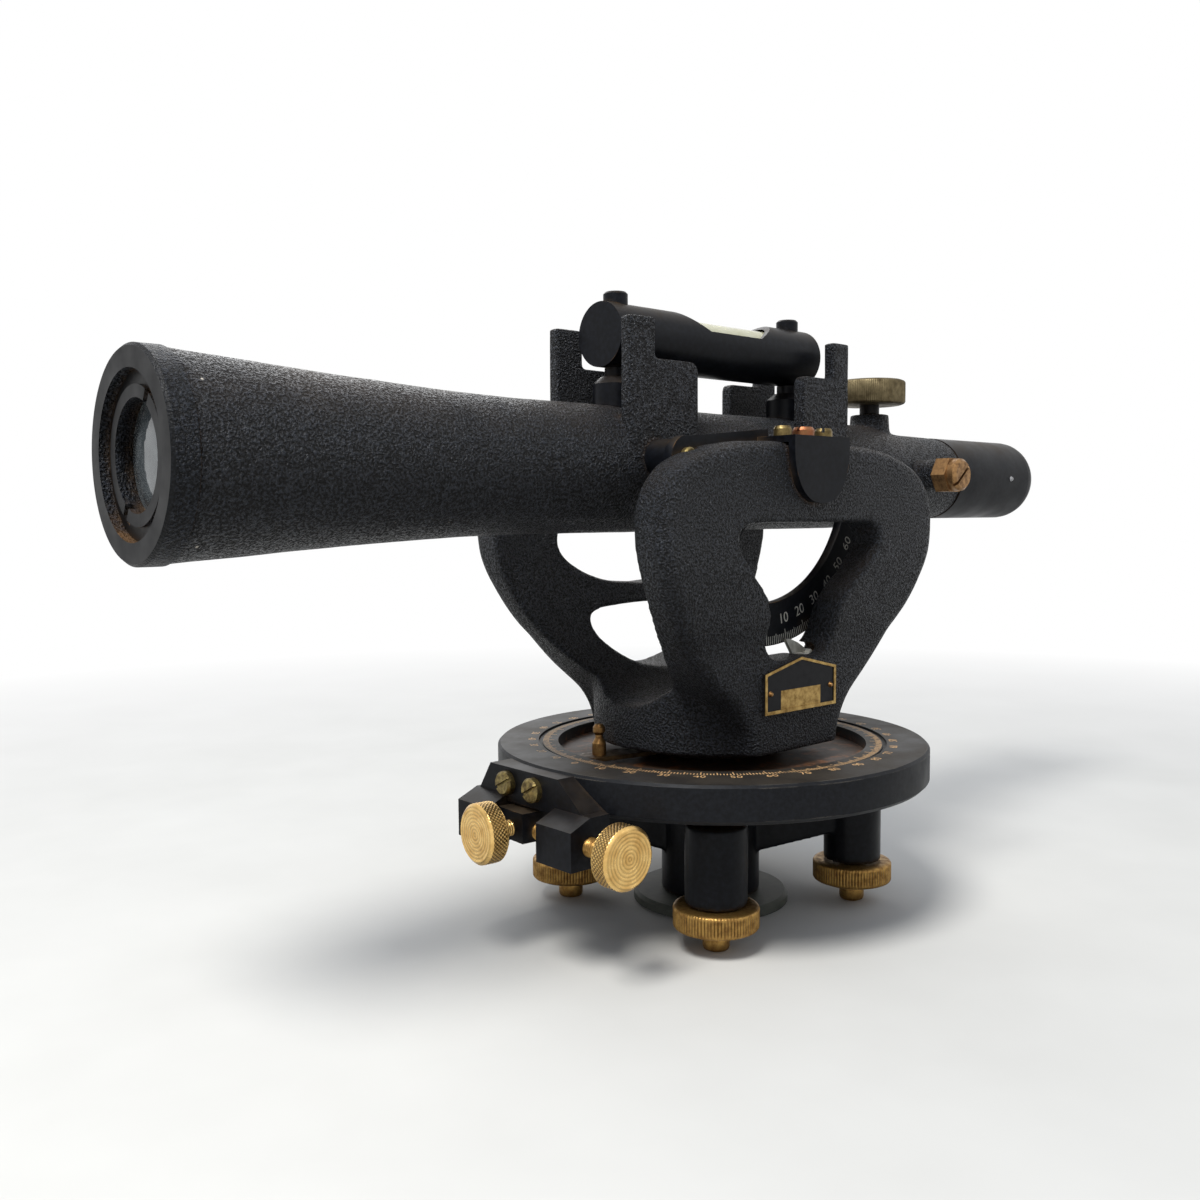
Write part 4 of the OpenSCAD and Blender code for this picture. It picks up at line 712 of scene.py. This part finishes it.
def levellingScrew(index):
    low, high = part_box(f"leveling_screw_{index}")
    middle = (low + high) / 2
    place = Matrix.Translation((middle.x, middle.y, low.z))
    height, foot, base = (high.z - low.z) / mm, levelling["footRadius"], levelling["headStart"]
    neckIn, neckDrop = levelling["neck"]
    top = base + levelling["headHeight"]
    lower, upper = roundedEnds(levelling["headRadius"], base, top, levelling["headEdge"])
    dish = [(radius, top - depth) for radius, depth in levelling["dish"]]
    thread = levelling["threadRadius"]
    outline = [(0, 0)] + [(foot - inset, rise) for inset, rise in levelling["footEdge"]]
    outline += [(foot, base - neckDrop), (foot - neckIn, base)] + lower[:-1]
    outline += finely([lower[-1], upper[0]], levelling["step"]) + upper[1:] + dish
    outline += [(thread, dish[-1][1]), (thread, height), (0, height)]
    mesh = bmesh.new()
    turn(mesh, outline, levelling["segments"], place, straightKnurl)
    name = f"levelling_screw_brass_{index}"
    piece = addPiece(name, mesh, brassWarm, f"level_screw_{index}", 50)
    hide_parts(f"leveling_screw_{index}")


for index in range(1, 5):
    levellingScrew(index)

# Focus knob with a fine straight knurl; edge and dish are points of the outline
focus = {
    "grooves": 120,
    "depth": 0.16,
    "edge": [(1.4, 0), (0.4, 0.4), (0, 1.0)],
    "dish": [(9.0, 0), (8.4, 0.5), (3.4, 0.5), (3.0, 0.2)],
    "segments": 720,
}


def focusKnob():
    low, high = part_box("focus_knob")
    middle = (low + high) / 2
    place = Matrix.Translation((middle.x, middle.y, low.z))
    radius, height = (high.x - low.x) / 2 / mm, (high.z - low.z) / mm

    def fineKnurl(angle, r, z):
        dark = 1 - ridge(angle * focus["grooves"] / (2 * math.pi)) if r > radius - sideGap else 0
        return focus["depth"] * dark, dark

    lower, upper = roundedEnds(radius, 0, height, focus["edge"])
    dish = [(reach, height - depth) for reach, depth in focus["dish"]]
    outline = [(0, 0)] + lower + [(radius, height / 2)] + upper + dish + [(0, dish[-1][1])]
    mesh = bmesh.new()
    turn(mesh, outline, focus["segments"], place, fineKnurl)
    piece = addPiece("focus_knob_brass", mesh, brassOlive, "focus", 50)
    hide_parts("focus_knob")


focusKnob()
print("knobs and levelling screws done")

# Thickness of painted marks and numbers in mm, and size of the type for numbers one mm tall
paint = {"mark": 0.04, "number": 0.02, "type": 1.38, "curveSteps": 3}


def numerals(height):
    # Meshes of the plain numbers 0, 10, 20 up to 90, centred, height mm tall
    shapes = {}
    for value in range(0, 100, 10):
        curve = bpy.data.curves.new("numeral", "FONT")
        curve.body = str(value)
        curve.size = height * paint["type"] * mm
        curve.extrude = paint["number"] * mm
        curve.resolution_u = paint["curveSteps"]
        curve.align_x = "CENTER"
        curve.align_y = "CENTER"
        holder = bpy.data.objects.new("numeral", curve)
        bpy.context.scene.collection.objects.link(holder)
        bpy.context.view_layer.update()
        seen = holder.evaluated_get(bpy.context.evaluated_depsgraph_get())
        shapes[value] = bpy.data.meshes.new_from_object(seen)
        bpy.data.objects.remove(holder)
    return shapes


def addMark(mesh, place, length, width):
    size = Matrix.Diagonal((length * mm, width * mm, paint["mark"] * mm, 1))
    bmesh.ops.create_cube(mesh, size=1, matrix=place @ size)


def markLength(marks, degree):
    # Every tenth mark is long and every fifth one between the two
    return marks["long" if degree % 10 == 0 else "middle" if degree % 5 == 0 else "short"]


def addNumeral(mesh, shape, place):
    # The number stands upright across the line from the centre
    copy = shape.copy()
    copy.transform(place @ Matrix.Rotation(math.radians(90), 4, "Z"))
    mesh.from_mesh(copy)
    bpy.data.meshes.remove(copy)


# Horizontal circle: one mark per degree inside the groove, numbers in quadrants outside it
circleMarks = {"outer": 55.2, "short": 1.9, "middle": 2.7, "long": 3.6, "width": 0.34, "numberAt": 59.0,
               "numberHeight": 2.7, "land": 0.4}


def circleGraduations():
    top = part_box("horizontal_circle")[1].z
    mesh = bmesh.new()
    shapes = numerals(circleMarks["numberHeight"])
    for degree in range(360):
        length = markLength(circleMarks, degree)
        turned = Matrix.Rotation(math.radians(degree), 4, "Z")
        reach = (circleMarks["outer"] - length / 2) * mm
        land = top - circleMarks["land"] * mm
        addMark(mesh, turned @ Matrix.Translation((reach, 0, land)), length, circleMarks["width"])
        if degree % 10 == 0:
            value = min(degree % 180, 180 - degree % 180)
            at = Matrix.Translation((circleMarks["numberAt"] * mm, 0, top))
            addNumeral(mesh, shapes[value], turned @ at)
    worn = markPaint("circle_marks", "#c29a68", "#4a3d2f")
    addPiece("circle_graduations", mesh, worn, "circle")


# Vertical arc: one mark per degree at its edge, numbers each way from the middle
arcMarks = {"edge": 54.7, "short": 2.6, "middle": 3.1, "long": 3.8, "width": 0.3, "numberAt": 47.4,
            "numberHeight": 3.4, "front": 46, "back": 86}


def arcGraduations():
    low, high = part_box("trunnions")
    axis = Vector((0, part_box("vertical_arc")[0].y, (low.z + high.z) / 2))
    mesh = bmesh.new()
    shapes = numerals(arcMarks["numberHeight"])
    face = Matrix.Translation(axis) @ Matrix.Rotation(math.radians(90), 4, "X")
    for degree in range(-arcMarks["front"], arcMarks["back"] + 1):
        length = markLength(arcMarks, degree)
        hung = face @ Matrix.Rotation(math.radians(degree - 90), 4, "Z")
        reach = (arcMarks["edge"] - length / 2) * mm
        addMark(mesh, hung @ Matrix.Translation((reach, 0, 0)), length, arcMarks["width"])
        if degree % 10 == 0:
            at = Matrix.Translation((arcMarks["numberAt"] * mm, 0, 0))
            addNumeral(mesh, shapes[abs(degree)], hung @ at)
    worn = markPaint("arc_marks", "#b4b1a7", "#6c6a64")
    addPiece("arc_graduations", mesh, worn, "telescope")


circleGraduations()
arcGraduations()


# Air bubble under the top of the level's glass; flat is its height as a share of its width
bubble = {"length": 15.0, "radius": 3.4, "under": 0.25, "flat": 0.55, "rings": 12, "segments": 40}


def levelBubble():
    low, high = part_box("level_glass")
    middle = (low + high) / 2
    along = Matrix.Rotation(math.radians(90), 4, "Y") @ Matrix.Diagonal((bubble["flat"], 1, 1, 1))
    lift = high.z - (bubble["radius"] * bubble["flat"] + bubble["under"]) * mm
    half, rings = bubble["length"] / 2, bubble["rings"]
    outline = [(bubble["radius"] * math.sqrt(max(0, 1 - t ** 4)), half * t)
               for t in (i / rings for i in range(-rings, rings + 1))]
    mesh = bmesh.new()
    turn(mesh, outline, bubble["segments"], Matrix.Translation((middle.x, 0, lift)) @ along)
    settings = {"Roughness": 0.05, "IOR": 1.1, "Transmission Weight": 0.5}
    air, tree, shader, place = startMaterial("vial_air", settings)
    tint = layOver(tree, span(tree, grain(tree, place, 4.0), 0.3, 0.7), "#eeecd6", "#f6f5e8")
    dress(tree, shader, tint)
    addPiece("level_bubble", mesh, air, "telescope")


levelBubble()
print("graduations and bubble done")

# Pale floor, overcast sky and three soft lamps; lengths in metres
studio = {
    "floor": "#c0beb8",
    "floorWorn": "#c5c3bd",
    "floorGrain": 60.0,
    "floorSize": 6.0,
    "fadeStart": 0.3,
    "fadeEnd": 0.75,
    "sky": "#dfe8f8",
    "skyLow": 0.05,
    "skyHigh": 1.1,
    "target": (0, 0, 0.11),
    "lamps": [
        {"name": "key", "place": (-0.6, -0.2, 1.05), "size": 0.45, "power": 16.0},
        {"name": "fill", "place": (0.55, -0.95, 0.75), "size": 0.9, "power": 1.2},
        {"name": "back", "place": (0.4, 0.9, 0.8), "size": 0.8, "power": 4.0},
    ],
}


def showsWhite(tree):
    # True for the rays that see the background directly, by reflection or through glass
    path = addNode(tree, "LightPath").outputs
    direct = reckon(tree, "MAXIMUM", path["Is Camera Ray"], path["Is Glossy Ray"])
    return reckon(tree, "MAXIMUM", direct, path["Is Transmission Ray"])


def placeFloor():
    mesh = bmesh.new()
    bmesh.ops.create_grid(mesh, x_segments=2, y_segments=2, size=studio["floorSize"] / 2)
    data = bpy.data.meshes.new("floor")
    mesh.to_mesh(data)
    mesh.free()
    floor = bpy.data.objects.new("floor", data)
    bpy.context.scene.collection.objects.link(floor)
    material, tree, shader, place = startMaterial("floor_paper", {"Roughness": 0.85})
    mottle = span(tree, grain(tree, place, studio["floorGrain"]), 0.3, 0.7)
    tone = layOver(tree, mottle, studio["floor"], studio["floorWorn"])
    dress(tree, shader, tone)
    away = addNode(tree, "VectorMath", {"operation": "LENGTH"}, {0: place.outputs["Object"]})
    fade = span(tree, away.outputs["Value"], studio["fadeStart"], studio["fadeEnd"])
    # Farther out the floor is as white as the background
    white = addNode(tree, "Emission", {"Color": (1, 1, 1, 1), "Strength": 1.0})
    blend = {0: both(tree, fade, showsWhite(tree)), 1: shader.outputs[0], 2: white.outputs[0]}
    mixed = addNode(tree, "MixShader", {}, blend)
    output = next(node for node in tree.nodes if node.type == "OUTPUT_MATERIAL")
    tree.links.new(mixed.outputs[0], output.inputs["Surface"])
    data.materials.append(material)


def placeSky():
    # Overcast sky, brightest overhead, behind a plain white background
    world = bpy.data.worlds.new("studio")
    bpy.context.scene.world = world
    world.use_nodes = True
    tree = world.node_tree
    tree.nodes.clear()
    seen = showsWhite(tree)
    upward = axes(tree, addNode(tree, "TexCoord").outputs["Generated"])[2]
    light = span(tree, upward, 0.0, 1.0, studio["skyLow"], studio["skyHigh"])
    strength = reckon(tree, "MAXIMUM", light, seen)
    tone = layOver(tree, seen, studio["sky"], "#ffffff")
    sky = addNode(tree, "Background", {}, {"Color": tone, "Strength": strength})
    addNode(tree, "OutputWorld", {}, {"Surface": sky.outputs[0]})


def placeLamp(name, place, size, power):
    light = bpy.data.lights.new(name, "AREA")
    light.shape = "DISK"
    light.size = size
    light.energy = power
    holder = bpy.data.objects.new(name, light)
    holder.location = place
    aim = Vector(studio["target"]) - Vector(place)
    holder.rotation_euler = aim.to_track_quat("-Z", "Y").to_euler()
    bpy.context.scene.collection.objects.link(holder)


placeFloor()
placeSky()
for lamp in studio["lamps"]:
    placeLamp(**lamp)
bpy.context.scene.view_settings.view_transform = "Standard"
print("studio ready")
